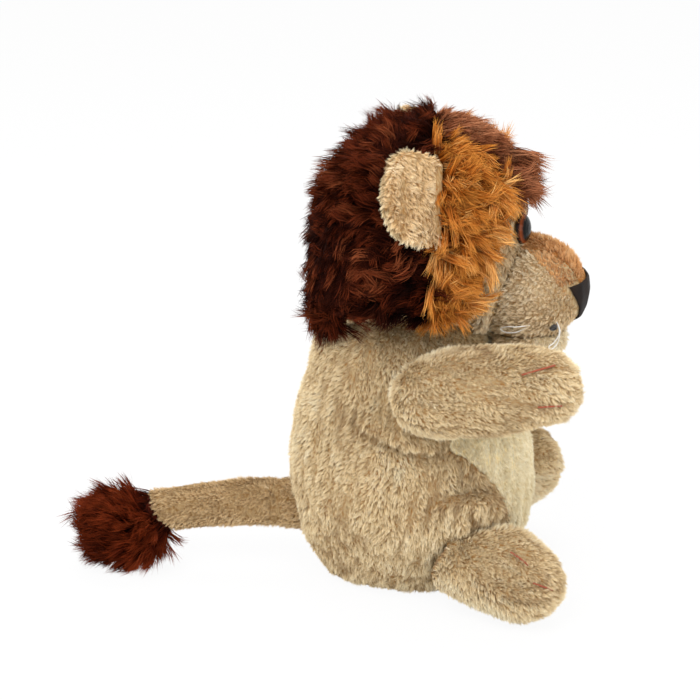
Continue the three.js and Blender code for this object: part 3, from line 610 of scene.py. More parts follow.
pileHabit = {"draw": 0.78, "waves": 40, "sizeSwirl": 0.12, "sizeStroke": 0.1, "sizes": (0.5, 1.5),
             "standStroke": 0.4, "stands": (0.3, 1.7), "shade": 0.44, "patches": 0.1, "shadeStray": 0.1,
             "lengths": (0.8, 1.1), "turns": 5, "pull": 1.3, "ground": 0.0003, "sink": 0.0004,
             "parting": 0.0009, "faceStray": 0.35, "widths": (0.75, 1.25), "taper": 0.35, "tintStray": 0.12,
             "tints": (0.02, 0.98), "edge": 0.006}


def strandMesh(name, path, face, width, tint):  # flat strands that taper to a point, tinted by their UV map
    steps, count = len(path) - 1, len(tint)
    rows, tints = [], []
    for k in range(steps):
        half = (width * (1 - pileHabit["taper"] * (k / steps)) / 2)[:, None]
        rows += [path[k] - face * half, path[k] + face * half]
        along = np.full(count, k / steps)
        tints += [np.stack([tint + edge, along], axis=1) for edge in (-pileHabit["edge"], pileHabit["edge"])]
    rows.append(path[steps])
    tints.append(np.stack([tint, np.full(count, 1.0)], axis=1))
    places = np.stack(rows, axis=1).reshape(-1, 3)
    tints = np.stack(tints, axis=1).reshape(-1, 2)
    pattern = []
    for k in range(steps - 1):
        pattern += [2 * k, 2 * k + 1, 2 * k + 3, 2 * k + 2]
    pattern += [2 * steps - 2, 2 * steps - 1, 2 * steps]
    loops = (np.arange(count)[:, None] * len(rows) + np.array(pattern)).ravel()
    totals = np.tile([4] * (steps - 1) + [3], count)
    starts = np.concatenate([[0], np.cumsum(totals)[:-1]])
    mesh = bpy.data.meshes.new(name)
    mesh.vertices.add(len(places))
    mesh.vertices.foreach_set("co", places.astype(np.float32).ravel())
    mesh.loops.add(len(loops))
    mesh.loops.foreach_set("vertex_index", loops.astype(np.int32))
    mesh.polygons.add(len(totals))
    mesh.polygons.foreach_set("loop_start", starts.astype(np.int32))
    mesh.polygons.foreach_set("loop_total", totals.astype(np.int32))
    mesh.polygons.foreach_set("use_smooth", np.ones(len(totals), dtype=bool))
    layer = mesh.uv_layers.new(name="OFBake")
    layer.data.foreach_set("uv", tints[loops].astype(np.float32).ravel())
    mesh.update(calc_edges=True)
    mesh.validate()
    return mesh


def growPile(name, skin, look, body, flow, s):
    centre, up, random = tuftRoots(skin, s["tufts"], s["seed"])
    keep = np.ones(len(centre), dtype=bool)
    for line in s.get("parted", []):  # the pile lies open along a stitched line
        keep &= lineDistance(centre, line) > s.get("parting", pileHabit["parting"])
    if "where" in s:
        keep &= s["where"](centre)
    centre, up = centre[keep], up[keep]
    lie = unit(flow(centre))
    drawn = centre - lie * ((centre * lie).sum(axis=1, keepdims=True) * pileHabit["draw"])  # brushed streaks
    streak, stroke = (softNoise(drawn, s["streak"], s["seed"] + k, pileHabit["waves"]) for k in (21, 22))
    swirl = np.stack([softNoise(centre, s["swirlScale"], s["seed"] + k) for k in (1, 2, 3)], axis=1)
    lay = lie + swirl * s["swirl"] + random.normal(size=centre.shape) * s["stray"]
    lay = unit(lay - up * (lay * up).sum(axis=1, keepdims=True))
    lay = unit(lay + np.cross(up, lay) * (streak * s["comb"])[:, None])
    size = 1 + pileHabit["sizeSwirl"] * softNoise(centre, s["swirlScale"], s["seed"] + 9)
    size = size + pileHabit["sizeStroke"] * stroke + random.normal(size=len(centre)) * s["uneven"]
    size = np.clip(size, *pileHabit["sizes"])
    stand = np.clip(1 + pileHabit["standStroke"] * stroke, *pileHabit["stands"])
    shade = pileHabit["shade"] + pileHabit["patches"] * softNoise(centre, s["patch"], s["seed"] + 5)
    shade = shade + s["contrast"] * stroke + random.normal(size=len(centre)) * pileHabit["shadeStray"]
    # painted shade (along creases, beside the ruff) and the sole's paler colour shift each tuft's tint
    if "paler" in s:
        shade = shade + s["paler"](centre)
    each = s["strands"]
    phase = np.repeat(random.uniform(0, 2 * math.pi, len(centre)), each)
    centre, up, lay = (np.repeat(rows, each, axis=0) for rows in (centre, up, lay))
    size, shade, stand = (np.repeat(row, each) for row in (size, shade, stand))
    count = len(centre)
    side = np.cross(up, lay)
    spin = random.uniform(0, 2 * math.pi, count)
    spread = np.sqrt(random.random(count)) * s["spread"]
    offset = lay * (np.cos(spin) * spread)[:, None] + side * (np.sin(spin) * spread)[:, None]
    length = s["length"] * size * random.uniform(*pileHabit["lengths"], count)
    wander = random.normal(size=(count, 3)) * s["wander"]
    steps = s["steps"]
    path = [centre + offset - up * pileHabit["sink"]]
    for k in range(steps):
        share = (k + 0.5) / steps
        lift = ((s["rise"] * (1 - share) + s["fall"] * share) * stand)[:, None]
        way = up * lift + lay * (1 - np.abs(lift) * 0.5) + wander * (0.4 + share)
        way = way + side * (s.get("curl", 0) * np.cos(phase + pileHabit["turns"] * share))[:, None]
        way = way + np.array([0, 0, -1]) * s.get("droop", 0) * share
        path.append(path[-1] + unit(way) * (length / steps)[:, None])
    for k in range(1, steps + 1):  # each tuft draws together towards its tip
        path[k] = path[k] - offset * (s["gather"] * (k / steps) ** pileHabit["pull"])
    for row in path:  # nothing reaches through the ground
        row[:, 2] = np.maximum(row[:, 2], pileHabit["ground"])
    face = np.cross(path[-1] - path[0], up) + random.normal(size=(count, 3)) * pileHabit["faceStray"]
    width = s["width"] * random.uniform(*pileHabit["widths"], count)
    tint = np.clip(shade + random.normal(size=count) * pileHabit["tintStray"], *pileHabit["tints"])
    piece = newPiece(name, strandMesh(name, path, unit(face), width, tint))
    finishPiece(piece, body, look)
    print(name, count, "strands", count * (2 * steps - 1), "triangles")


shortPile = {"tufts": 0.66, "strands": 14, "length": 0.0032, "width": 0.0004, "spread": 0.0012, "gather": 0.8,
             "steps": 1, "rise": 0.6, "fall": 0.6, "swirl": 0.4, "swirlScale": 0.010, "stray": 0.2,
             "wander": 0.08, "uneven": 0.12, "patch": 0.014, "streak": 0.0016, "comb": 0.4, "contrast": 0.24}
longPile = {"tufts": 0.1, "strands": 22, "length": 0.0112, "width": 0.0005, "spread": 0.003, "gather": 0.75,
            "steps": 3, "rise": 0.5, "fall": 0.12, "swirl": 0.5, "swirlScale": 0.012, "stray": 0.25,
            "wander": 0.11, "uneven": 0.2, "patch": 0.01, "streak": 0.004, "comb": 0.35, "contrast": 0.16, "curl": 0.3}


def creaseShade(lines, depth, width):  # painted shade: the pile is darker along a crease, where shade falls
    def shade(places):
        far = np.min([lineDistance(places, line) for line in lines], axis=0)
        return -depth * np.exp(-(far / width) ** 2)
    return shade


def towards(x, y, z):
    return lambda places: np.tile(np.array([x, y, z], dtype=float), (len(places), 1))


def awayFrom(x, y, z, lean=(0, 0, 0)):
    return lambda places: unit(places - np.array([x, y, z])) + np.array(lean)


def clearOf(node, far):  # a test for places that lie far enough from a node
    tree = treeOf(frame["nodes"][node].data)
    return lambda places: np.array([tree.find_nearest(Vector(place))[3] > far for place in places])


# body

joints = {joint["name"]: Vector(joint["pos_m"]) for joint in frame["joints"]}
bodyShape = {"voxel": 0.0021, "rounds": 4, "trim": 0.0014, "pressure": 30.0, "mass": 0.1, "tension": 0.5,
             "shear": 0.2, "bending": 0.05, "frames": 16, "stitch": 0.002, "cap": 0.0016, "leftShare": 0.45}
bodyFolds = [  # pixels of the crease, height, width, the side it bags to, and if it is flatter on the left
    ([(352, 418), (372, 434), (398, 446), (424, 452), (440, 452)], 0.0070, 0.013, (0, 0, 1), False),
    ([(430, 506), (448, 496), (470, 492), (492, 494), (508, 502)], 0.0065, 0.011, (0, 0, -1), True),
    ([(464, 506), (468, 520), (471, 536)], 0.0042, 0.008, (-1, 0, 0), True)]
thighSwell = {"pixel": (484, 514), "radius": 0.015, "height": 0.0040}
backSwells = [((-0.0095, 0, 0.105), 0.03, 0.0022), ((-0.008, 0, 0.02), 0.02, 0.0018)]
bodyPile = {**shortPile, "parting": 0.0013}
bellyPile = {**bodyPile, "strands": 16, "length": 0.0026, "gather": 0.5, "contrast": 0.03, "comb": 0.2,
             "swirl": 0.3, "parted": []}
# painted shade along the body's creases
bodyCreaseShade = {"depth": 0.34, "width": 0.0042}
bodyPieces = (("body_right", "side_panel_right", "tan"), ("body_left", "side_panel_left", "tan"),
              ("belly", "belly_panel", "cream"))


def skinOf(name, node, s):
    return freeSide(remeshed(merged(name, [node]), s["voxel"], s["rounds"]), [node])


def makeBody():
    skins = {name: skinOf(name, node, bodyShape) for name, node, fur in bodyPieces}
    creases = [onSkin(skins["body_right"], pixels) for pixels, *shape in bodyFolds]
    thigh = onSkin(skins["body_right"], [thighSwell["pixel"]])
    piles = {"belly": bellyPile}
    for name, turned, share in (("body_right", list, 1.0), ("body_left", mirrorLine, bodyShape["leftShare"])):
        piece, lines = skins[name], [turned(line) for line in creases]
        # painted shade darkens the pile along the creases
        piles[name] = {**bodyPile, "parted": lines, "paler": creaseShade(lines, **bodyCreaseShade)}
        trimmed(piece, bodyShape["trim"])
        lumps(piece, 71)
        bulge(piece, turned(thigh)[0], thighSwell["radius"], thighSwell["height"] * share)
        for centre, radius, height in backSwells:
            bulge(piece, centre, radius, height)
        for line, (pixels, height, width, way, flatter) in zip(lines, bodyFolds):
            fold(piece, line, height * (share if flatter else 1), width, way)
        stuffed(piece, bodyShape, lines)
    lumps(skins["belly"], 72, 0.0004)
    stuffed(trimmed(skins["belly"], bodyShape["trim"]), bodyShape)
    for name, node, fur in bodyPieces:
        finishPiece(skins[name], "torso", f"{fur}Nap", [node])
        growPile(f"{name}_pile", skins[name], f"{fur}Pile", "torso", towards(-0.12, 0, -1),
                 {**piles[name], "seed": 101 + len(name)})
    print("body made")


cutCloth = {"hand_lining": (0.30, 0.14), "hem_band": (0.24, 0.012), "head_finger_stall": (0.077, 0.063),
            "arm_right_finger_stall": (0.078, 0.055), "arm_left_finger_stall": (0.078, 0.055)}


def sewnCloth(name, node, body):  # thin sewn cloth, kept at its own thickness
    piece = merged(name, [node])
    applied(piece, "SUBSURF", subdivision_type="SIMPLE", levels=1, render_levels=1)
    pick(piece)
    bpy.ops.object.shade_smooth_by_angle(angle=math.radians(50))
    if node in cutCloth:
        finishPiece(piece, body, "lining", [node])
    else:  # a rolled seam
        finishPiece(piece, body, "tanNap", [node])


fillings = {"head": "head", "paw_right": "arm_right", "paw_left": "arm_left", "leg_right": "leg_right",
            "leg_left": "leg_left", "tail": "tail"}  # what is filled, and the body it rides on
waddingShape = {"voxel": 0.0026, "rounds": 3, "depth": 0.0014, "headDepth": 0.004, "lumps": 0.0003,
                "scale": 0.006}
coverShape = {"voxel": 0.002, "rounds": 4, "clear": 0.003, "edge": 0.02, "sink": 0.0008, "thick": 0.001,
              "neckRadius": 0.031}


def makeInside():
    sewnCloth("hem", "hem_band", "torso")
    sewnCloth("hand_lining_cloth", "hand_lining", "torso")
    sewnCloth("neck_roll", "neck_seam", "neck")
    sewnCloth("head_pocket", "head_finger_stall", "head")
    sewnCloth("tail_roll", "tail_seam", "tail_root")
    for side in ("right", "left"):
        sewnCloth(f"arm_{side}_pocket", f"arm_{side}_finger_stall", f"arm_{side}")
        sewnCloth(f"arm_{side}_cuff", f"shoulder_seam_{side}", f"shoulder_{side}")
    for part, body in fillings.items():
        node = "head_stuffing" if part == "head" else f"{part}_filling"
        piece = remeshed(merged(f"{part}_wadding", [node]), waddingShape["voxel"], waddingShape["rounds"])
        depth = waddingShape["headDepth" if part == "head" else "depth"]
        pushed(piece, -depth - waddingShape["lumps"] * softNoise(points(piece), waddingShape["scale"], 7))
        finishPiece(piece, body, "wadding", [node])
    centre = joints["head_turn"]
    neck = coverShape["neckRadius"]
    beyondNeck = lambda places: np.hypot(places[:, 0] - centre.x, places[:, 1] - centre.y) > neck
    cover = plushCover("neck_cover", "head_stuffing", "head", ["head_stuffing"], beyondNeck)
    growPile("neck_cover_pile", cover, "tanPile", "head", towards(0, 0, -1),
             {**shortPile, "length": 0.0022, "seed": 161})
    for leg in ("leg_right", "leg_left"):
        plushCover(f"{leg}_cover", f"{leg}_filling", leg, [name for name in frame["nodes"] if name != leg])
    print("lining, pockets and wadding made")


def plushCover(name, node, body, skipped, where=None):  # plush over the part of a filling that no panel covers
    piece = remeshed(merged(name, [node]), coverShape["voxel"], coverShape["rounds"])
    freeSide(piece, skipped, coverShape["clear"])
    keep = outside[piece.name] > coverShape["edge"]
    if where:
        keep &= where(points(piece))
    pushed(piece, np.full(len(keep), -coverShape["sink"]))
    work = bmesh.new()
    work.from_mesh(piece.data)
    work.verts.ensure_lookup_table()
    bmesh.ops.delete(work, geom=[work.verts[i] for i in np.nonzero(~keep)[0]], context="VERTS")
    work.to_mesh(piece.data)
    work.free()
    applied(piece, "SOLIDIFY", thickness=coverShape["thick"], offset=-1.0)
    freeSide(piece, skipped)
    return finishPiece(piece, body, "tanNap")


# limbs

limbShape = {"voxel": 0.002, "rounds": 4, "trim": 0.0019, "pressure": 30.0, "mass": 0.1, "tension": 0.5,
             "shear": 0.2, "bending": 0.05, "frames": 16, "stitch": 0.0018, "cap": 0.0016}
toeShape = {"depth": 0.0014, "width": 0.0026, "swell": 0.0006, "thread": 0.00048, "lift": 0.0011}
limbFolds = {"arm": (0.0050, 0.010), "leg": (0.0034, 0.007)}  # height and width of the seam's fold
limbLie = {"arm": (1, 0.17, -0.25), "leg": (0.9, 0.25, -0.35)}
limbSeed = {"arm": 110, "leg": 120}
armCrest = {"pixel": (502, 340), "radius": 0.018, "height": 0.0040}
solePale = 0.2
armToes = [[(522, 375), (534, 371), (546, 367), (556, 364)], [(538, 408), (550, 407), (563, 407)]]
armSeam = [(422, 346), (450, 341), (480, 335), (505, 331), (530, 337), (552, 349)]
footToes = [[(510, 552), (519, 557), (529, 565)], [(533, 583), (543, 587), (552, 590)]]
footSeam = [(468, 588), (490, 596), (515, 600), (540, 598), (560, 590)]


def threadLine(name, line, body, look, radius):
    curve = bpy.data.curves.new(name, "CURVE")
    curve.dimensions = "3D"
    curve.bevel_depth = radius
    curve.bevel_resolution = 2
    curve.resolution_u = 6
    curve.use_fill_caps = True
    spline = curve.splines.new("BEZIER")
    spline.bezier_points.add(len(line) - 1)
    for knot, place in zip(spline.bezier_points, line):
        knot.co = place
        knot.handle_left_type = knot.handle_right_type = "AUTO"
    newPiece(name, curve)
    bpy.ops.object.convert(target="MESH")
    bpy.ops.object.shade_smooth()
    return finishPiece(bpy.context.object, body, look)


def lifted(piece, line, lift):
    tree = treeOf(piece.data)
    near = [tree.find_nearest(Vector(place)) for place in line]
    return [tuple(hit + normal * lift) for hit, normal, face, far in near]


def raisedLeft(line, share=1):  # the left leg rests raised, by what its swing lacks of the right one's
    ranges = {joint["name"]: joint["range_deg"] for joint in frame["joints"]}
    turn = share * math.radians(ranges["leg_left_swing"][1] - ranges["leg_right_swing"][1])
    hip = joints["leg_left_swing"]
    made = []
    for place in line:
        x, y, z = Vector(place) - hip
        made.append((hip.x + x * math.cos(turn) + z * math.sin(turn), hip.y + y,
                     hip.z - x * math.sin(turn) + z * math.cos(turn)))
    return made


def makeLimbs():
    skins = {}
    for limb in ("arm_right", "arm_left", "leg_right", "leg_left"):
        skins[limb] = skinOf(f"{limb}_skin", limb, limbShape)
    toes = {"arm": [onSkin(skins["arm_right"], line) for line in armToes],
            "leg": [onSkin(skins["leg_right"], line) for line in footToes]}
    seams = {"arm": onSkin(skins["arm_right"], armSeam), "leg": onSkin(skins["leg_right"], footSeam)}
    crest = onSkin(skins["arm_right"], [armCrest["pixel"]])
    slope, level = np.polyfit([x for x, y, z in seams["leg"]], [z for x, y, z in seams["leg"]], 1)

    def underSole(places, side):  # 1 below the seam that runs round a foot
        lowered = np.array(raisedLeft(places, -1) if side == "left" else places)
        return (lowered[:, 2] < level + slope * lowered[:, 0]).astype(float)

    for side, flip in (("right", -1), ("left", 1)):
        turned = mirrorLine if side == "left" else list
        for limb in ("arm", "leg"):
            name, piece = f"{limb}_{side}", skins[f"{limb}_{side}"]
            raised = raisedLeft if name == "leg_left" else list
            lines, seam = [raised(turned(line)) for line in toes[limb]], raised(turned(seams[limb]))
            trimmed(piece, limbShape["trim"])
            for line in lines:
                groove(piece, line, toeShape["depth"], toeShape["width"], toeShape["swell"])
            lumps(piece, 73)
            if limb == "arm":
                bulge(piece, turned(crest)[0], armCrest["radius"], armCrest["height"])
            fold(piece, seam, *limbFolds[limb], (0, 0, 1))
            stuffed(piece, limbShape, lines + [seam])
            finishPiece(piece, name, "limbNap", [name])
            # painted shade darkens the pile along the toe stitches and, on a foot, the sole seam; below that seam the
            # sole is a paler colour
            if limb == "arm":
                paler = creaseShade(lines, 0.26, 0.003)
            else:
                dark = creaseShade(lines + [seam], 0.3, 0.003)
                paler = lambda places: solePale * underSole(places, side) + dark(places)
            x, y, z = limbLie[limb]
            growPile(f"{name}_pile", piece, "tanPile", name, towards(x, flip * y, z),
                     {**shortPile, "seed": limbSeed[limb] + flip, "parted": lines + [seam], "paler": paler})
            for k, line in enumerate(lines):
                threadLine(f"{name}_toe_stitch_{k + 1}", lifted(piece, line, toeShape["lift"]), name,
                           "rustThread", toeShape["thread"])
    print("limbs made")


# tail

tailSeam = [(290, 476), (260, 481), (230, 484), (200, 487), (178, 490)]
tailShape = {**limbShape, "voxel": 0.0018, "trim": 0.0012, "tuftTrim": 0.007, "lie": (-1, 0, -0.15)}
seamShape = {"depth": 0.0010, "width": 0.0016, "swell": 0.0006}
tailPile = {**shortPile, "length": 0.0026}
tuftPile = {**longPile, "tufts": 0.2, "strands": 24, "length": 0.0135, "spread": 0.0024, "rise": 0.8,
            "fall": 0.4, "swirl": 0.3, "seed": 141}
collarShape = {"around": 44, "along": 7, "overlap": 0.003, "flare": 0.0016, "bury": 0.0025, "thick": 0.001,
               "reach": 0.04, "seamGap": 0.0012, "bend": 0.008, "flat": (0.082, 0.018)}


def tailCollar():  # the sleeve's sewn foot, between the body and the tail
    centre = joints["tail_lift"]
    trees = []  # of the sleeve, and of the body's wall
    for nodes in (["tail_sleeve"], ["side_panel_right", "side_panel_left"]):
        probe = merged("probe", nodes)
        trees.append(treeOf(probe.data))
        bpy.data.objects.remove(probe)
    bpy.ops.object.select_all(action="DESELECT")
    bpy.ops.mesh.primitive_cylinder_add(vertices=collarShape["around"], radius=0.01, depth=1,
                                        end_fill_type="NOTHING", location=(0.5, 0, 0),
                                        rotation=(0, math.pi / 2, 0))
    piece = bpy.context.object
    piece.name = piece.data.name = "tail_collar"
    bpy.ops.object.transform_apply(location=True, rotation=True, scale=True)
    bpy.ops.object.mode_set(mode="EDIT")
    for k in range(1, collarShape["along"]):
        bpy.ops.mesh.select_all(action="SELECT")
        bpy.ops.mesh.bisect(plane_co=(k / collarShape["along"], 0, 0), plane_no=(1, 0, 0))
    bpy.ops.object.mode_set(mode="OBJECT")
    start = centre - Vector((collarShape["overlap"], 0, 0))
    places = []
    for share, y, z in points(piece):  # from the tail's sleeve to the wall of the body
        out = Vector((0, y, z)).normalized()
        skin = trees[0].ray_cast(start + out * collarShape["reach"], -out)[0]
        radius = (skin - start).length - tailShape["trim"]
        spot = centre + out * radius
        spot.y += collarShape["seamGap"] if spot.y >= 0 else -collarShape["seamGap"]  # clear of the back seam
        wall = trees[1].ray_cast(spot, Vector((1, 0, 0)))[0]
        x = start.x + share * (wall.x + collarShape["bury"] - start.x)
        places.append(Vector((x, centre.y, centre.z)) + out * (radius + collarShape["flare"] * share * share))
    setPoints(piece, places)
    pick(piece)
    applied(piece, "SOLIDIFY", thickness=collarShape["thick"], offset=-1.0)
    bpy.ops.object.shade_smooth()
    middle = sum(places, Vector()) / len(places)
    bend = (middle.x + collarShape["bend"], centre.y, centre.z)
    pair = ("torso", "tail_root", bend, (centre.x, centre.y, centre.z))
    freeSide(piece, [])
    finishPiece(piece, pair, "tailNap")
    growPile("tail_collar_pile", piece, "tailPile", pair, towards(*tailShape["lie"]),
             {**tailPile, "seed": 133})


def makeTail():
    tailCollar()
    sleeve = skinOf("tail_skin", "tail_sleeve", tailShape)
    seam = onSkin(sleeve, tailSeam)
    trimmed(sleeve, tailShape["trim"])
    groove(sleeve, seam, **seamShape)
    stuffed(sleeve, tailShape, [seam])
    finishPiece(sleeve, "tail", "tailNap", ["tail_sleeve"])
    growPile("tail_pile", sleeve, "tailPile", "tail", towards(*tailShape["lie"]),
             {**tailPile, "seed": 131, "parted": [seam]})
    tuft = trimmed(skinOf("tail_tuft_core", "tail_tuft", tailShape), tailShape["tuftTrim"])
    low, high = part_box("tail_tuft")
    root = (high.x, 0, (low.z + high.z) / 2 + 0.002)
    finishPiece(tuft, "tail", "tuftNap", ["tail_tuft"])
    growPile("tail_tuft_pile", tuft, "tuftPile", "tail", awayFrom(*root, (-0.35, 0, 0)), tuftPile)
    print("tail made")


# head

headShape = {**limbShape, "voxel": 0.0017, "trim": 0.0012, "pressure": 120.0, "cap": 0.0014, "share": 0.45,
             "earStretch": 1.10, "earLift": 0.0012}
noseShape = {"voxel": 0.0006, "rounds": 34}
headPieces = {  # name: node, ground, slot, how it is made
    "mane_ground": ("mane_back", "brownNap", "brown_fur", "long"),
    "ruff_right_ground": ("ruff_right", "goldNap", "gold_fur", "long"),
    "ruff_left_ground": ("ruff_left", "goldNap", "gold_fur", "long"),
    "crown_ground": ("crown_strip", "crownNap", "brown_fur", "long"),
    "face": ("face_panel", "faceNap", "face_plush", "flat"),
    "muzzle_strip": ("muzzle_bridge", "bridgeNap", "bridge_plush", "stuffed"),
    "cheek_right_skin": ("cheek_right", "faceNap", "face_plush", "stuffed"),
    "cheek_left_skin": ("cheek_left", "faceNap", "face_plush", "stuffed"),
    "chin_skin": ("chin", "chinNap", "face_plush", "stuffed"),
    "ear_right_inner": ("ear_right_front", "earNap", "ear_plush", "flat"),
    "ear_left_inner": ("ear_left_front", "earNap", "ear_plush", "flat"),
    "ear_right_outer": ("ear_right_back", "tanNap", "tan_plush", "flat"),
    "ear_left_outer": ("ear_left_back", "tanNap", "tan_plush", "flat"),
}
manePile = {**longPile, "tufts": 0.11, "seed": 201}
topLocks = {**longPile, "tufts": 0.05, "strands": 30, "length": 0.013, "steps": 4, "rise": 0.9, "fall": 0.5,
            "curl": 0.4, "contrast": 0.26, "seed": 204}
napePile = {**longPile, "tufts": 0.12, "length": 0.017, "steps": 4, "rise": 0.3, "droop": 0.3, "seed": 203}
maneLocks = {**longPile, "tufts": 0.04, "strands": 32, "spread": 0.004, "gather": 0.85, "steps": 4,
             "length": 0.0122, "rise": 0.55, "fall": 0.15, "curl": 0.5, "contrast": 0.26, "seed": 202}
ruffPile = {**longPile, "tufts": 0.2, "strands": 20, "length": 0.0115, "swirl": 0.7, "swirlScale": 0.008,
            "stray": 0.35, "curl": 0.1, "contrast": 0.22}
ruffLocks = {**longPile, "tufts": 0.05, "strands": 36, "spread": 0.003, "gather": 0.9, "steps": 4,
             "length": 0.0155, "rise": 0.65, "fall": 0.3, "swirl": 0.9, "swirlScale": 0.009, "stray": 0.4,
             "curl": 0.1, "contrast": 0.26}
crownPile = {**longPile, "tufts": 0.24, "length": 0.0095, "rise": 0.36, "fall": 0.05, "contrast": 0.24,
             "seed": 251}
forelockPile = {**longPile, "tufts": 0.3, "length": 0.0150, "steps": 4, "rise": 0.7, "fall": 0.3, "droop": 0.1,
                "seed": 255}
earPile = {**shortPile, "length": 0.0034, "stray": 0.35, "swirl": 0.5}
muzzlePile = {**shortPile, "length": 0.0026}
headLines = {"noseGap": 0.0012, "ruffGap": 0.0015, "lockGap": 0.008, "browHeight": 0.207, "forelock": 0.014,
             "chinTip": 0.015, "topHeight": 0.2, "topFrom": 0.002, "topTo": 0.042, "napeHeight": 0.022,
             "napeDepth": 0.035}
bridgeEdge = [(510, 241), (517, 245), (535, 257), (552, 276), (566, 294)]


def ruffFlow(flip):  # down beside the cheek, forwards beside the brow
    def flow(places):
        high = np.clip((places[:, 2] - 0.178) / 0.03, 0, 1)
        return np.stack([0.2 + 0.9 * high, np.full(len(places), flip * 0.25), 0.5 * high - 0.8], axis=1)
    return flow


def besideRuff(places):  # the mane lies in shade beside the ruff
    low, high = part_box("mane_back")
    near = np.clip((places[:, 0] - high.x + 0.024) / 0.018, 0, 1)
    return -0.3 * near * np.clip((0.2 - places[:, 2]) / 0.03, 0, 1)


def onBridge(flip):  # the part of a cheek that the bridge's colour reaches
    def test(places):
        seen = pixelsOf(places * np.array([1, -flip, 1]))
        x, y = np.array(bridgeEdge).T
        return (seen[:, 0] > x[0]) & (seen[:, 1] < np.interp(seen[:, 0], x, y))
    return test


def makeHead():
    skins = {}
    for name, (node, ground, slotName, way) in headPieces.items():
        skins[name] = skinOf(name, node, headShape)
        if way == "long":
            sunk(skins[name], "head_stuffing", headShape["share"])
        else:
            trimmed(skins[name], headShape["trim"])
        if way == "stuffed":
            stuffed(skins[name], headShape)
        if name.startswith("ear"):
            places = points(skins[name])
            low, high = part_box(node)
            middle = (low.z + high.z) / 2
            places[:, 2] = middle + (places[:, 2] - middle) * headShape["earStretch"] + headShape["earLift"]
            setPoints(skins[name], places)
        finishPiece(skins[name], "head", ground, [node])
    nose = remeshed(merged("nose_skin", ["nose"]), noseShape["voxel"], noseShape["rounds"])
    finishPiece(nose, "head", "noseSatin", ["nose"])
    print("head skins made")

    def grow(name, ground, look, flow, s):
        growPile(name, skins[ground], look, "head", flow, s)

    def parting(x, y, z):  # away from the middle line on both sides
        return lambda places: np.stack([np.full(len(places), x), np.sign(places[:, 1]) * y,
                                        np.full(len(places), z)], axis=1)

    low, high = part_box("mane_back")
    noseFront, crownFront, chinFront = (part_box(node)[1].x for node in ("nose", "crown_strip", "chin"))
    apart = clearOf("nose", headLines["noseGap"])
    muzzle = {**muzzlePile, "where": apart}
    brow = (high.x + 0.03, 0, 0.19)
    top = lambda places: ((places[:, 2] > headLines["topHeight"]) & (places[:, 0] > headLines["topFrom"])
                          & (places[:, 0] < headLines["topTo"]))
    nape = lambda places: ((places[:, 2] < low.z + headLines["napeHeight"])
                           & (places[:, 0] < low.x + headLines["napeDepth"]))
    # the mane's under-layer in the darker brown: painted shade under the locks
    grow("mane_pile", "mane_ground", "shadedBrownPile", awayFrom(*brow, (0, 0, -0.3)),
         {**manePile, "paler": besideRuff})
    grow("mane_locks", "mane_ground", "brownPile", awayFrom(*brow, (0, 0, -0.2)),
         {**maneLocks, "paler": besideRuff})
    grow("mane_top_locks", "mane_ground", "brownPile", awayFrom(*brow), {**topLocks, "where": top})
    grow("nape_pile", "mane_ground", "brownPile", towards(-0.55, 0, -1), {**napePile, "where": nape})
    for side, flip in (("right", -1), ("left", 1)):
        ruff, cheek, ear = f"ruff_{side}", f"cheek_{side}_skin", f"ear_{side}"
        grow(f"{ruff}_pile", f"{ruff}_ground", "goldPile", ruffFlow(flip),
             {**ruffPile, "where": clearOf("crown_strip", headLines["ruffGap"]), "seed": 210 + flip})
        grow(f"{ruff}_locks", f"{ruff}_ground", "goldPile", ruffFlow(flip),
             {**ruffLocks, "where": clearOf("crown_strip", headLines["lockGap"]), "seed": 215 + flip})
        upper = onBridge(flip)
        grow(f"cheek_{side}_pile", cheek, "facePile", awayFrom(noseFront, 0, 0.155),
             {**muzzle, "where": lambda places: apart(places) & ~upper(places), "seed": 220 + flip})
        grow(f"bridge_{side}_pile", cheek, "bridgePile", towards(-0.6, 0, 0.7),
             {**muzzle, "where": lambda places: apart(places) & upper(places), "seed": 225 + flip})
        down = towards(-0.2, flip * 0.2, -1)
        grow(f"{ear}_inner_pile", f"{ear}_inner", "earPile", down, {**earPile, "seed": 230 + flip})
        grow(f"{ear}_outer_pile", f"{ear}_outer", "tanPile", down, {**shortPile, "seed": 240 + flip})
    above = lambda places: places[:, 2] > headLines["browHeight"]
    front = lambda places: above(places) & (places[:, 0] > crownFront - headLines["forelock"])
    tip = lambda places: places[:, 0] > chinFront - headLines["chinTip"]
    grow("crown_pile", "crown_ground", "crownPile", parting(0.8, 0.2, -0.3), {**crownPile, "where": above})
    grow("forelock_pile", "crown_ground", "crownPile", towards(1, 0, 0), {**forelockPile, "where": front})
    grow("brow_pile", "crown_ground", "facePile", towards(0.3, 0, -1),
         {**shortPile, "length": 0.0046, "where": lambda places: ~above(places), "seed": 257})
    grow("face_pile", "face", "facePile", awayFrom(noseFront - 0.01, 0, 0.175, (0, 0, -0.2)),
         {**shortPile, "seed": 252})
    grow("muzzle_strip_pile", "muzzle_strip", "bridgePile", parting(-0.5, 0.7, 0.5),
         {**muzzle, "length": 0.0030, "seed": 253})
    grow("chin_pile", "chin_skin", "chinPile", towards(0.2, 0, -1), {**muzzle, "where": tip, "seed": 254})
    grow("chin_back_pile", "chin_skin", "facePile", towards(-0.5, 0, -1),
         {**shortPile, "where": lambda places: ~tip(places), "seed": 256})
    print("head pile grown")
    return skins


def makeEyes():
    for side in ("right", "left"):
        eye, washer = (frame["nodes"][f"{node}_{side}"].data for node in ("eye", "eye_washer"))
        places, inner = ([v.co for v in mesh.vertices] for mesh in (eye, washer))
        way = (sum(places, Vector()) / len(places) - sum(inner, Vector()) / len(inner)).normalized()
        front = max(places, key=lambda place: place.dot(way))
        iris = eyeLook(f"eyePlastic{side.capitalize()}", tuple(front), tuple(way))
        for mesh, look in ((eye, iris), (washer, looks["washer"])):
            mesh.materials.clear()
            mesh.materials.append(look)
    print("eyes finished")


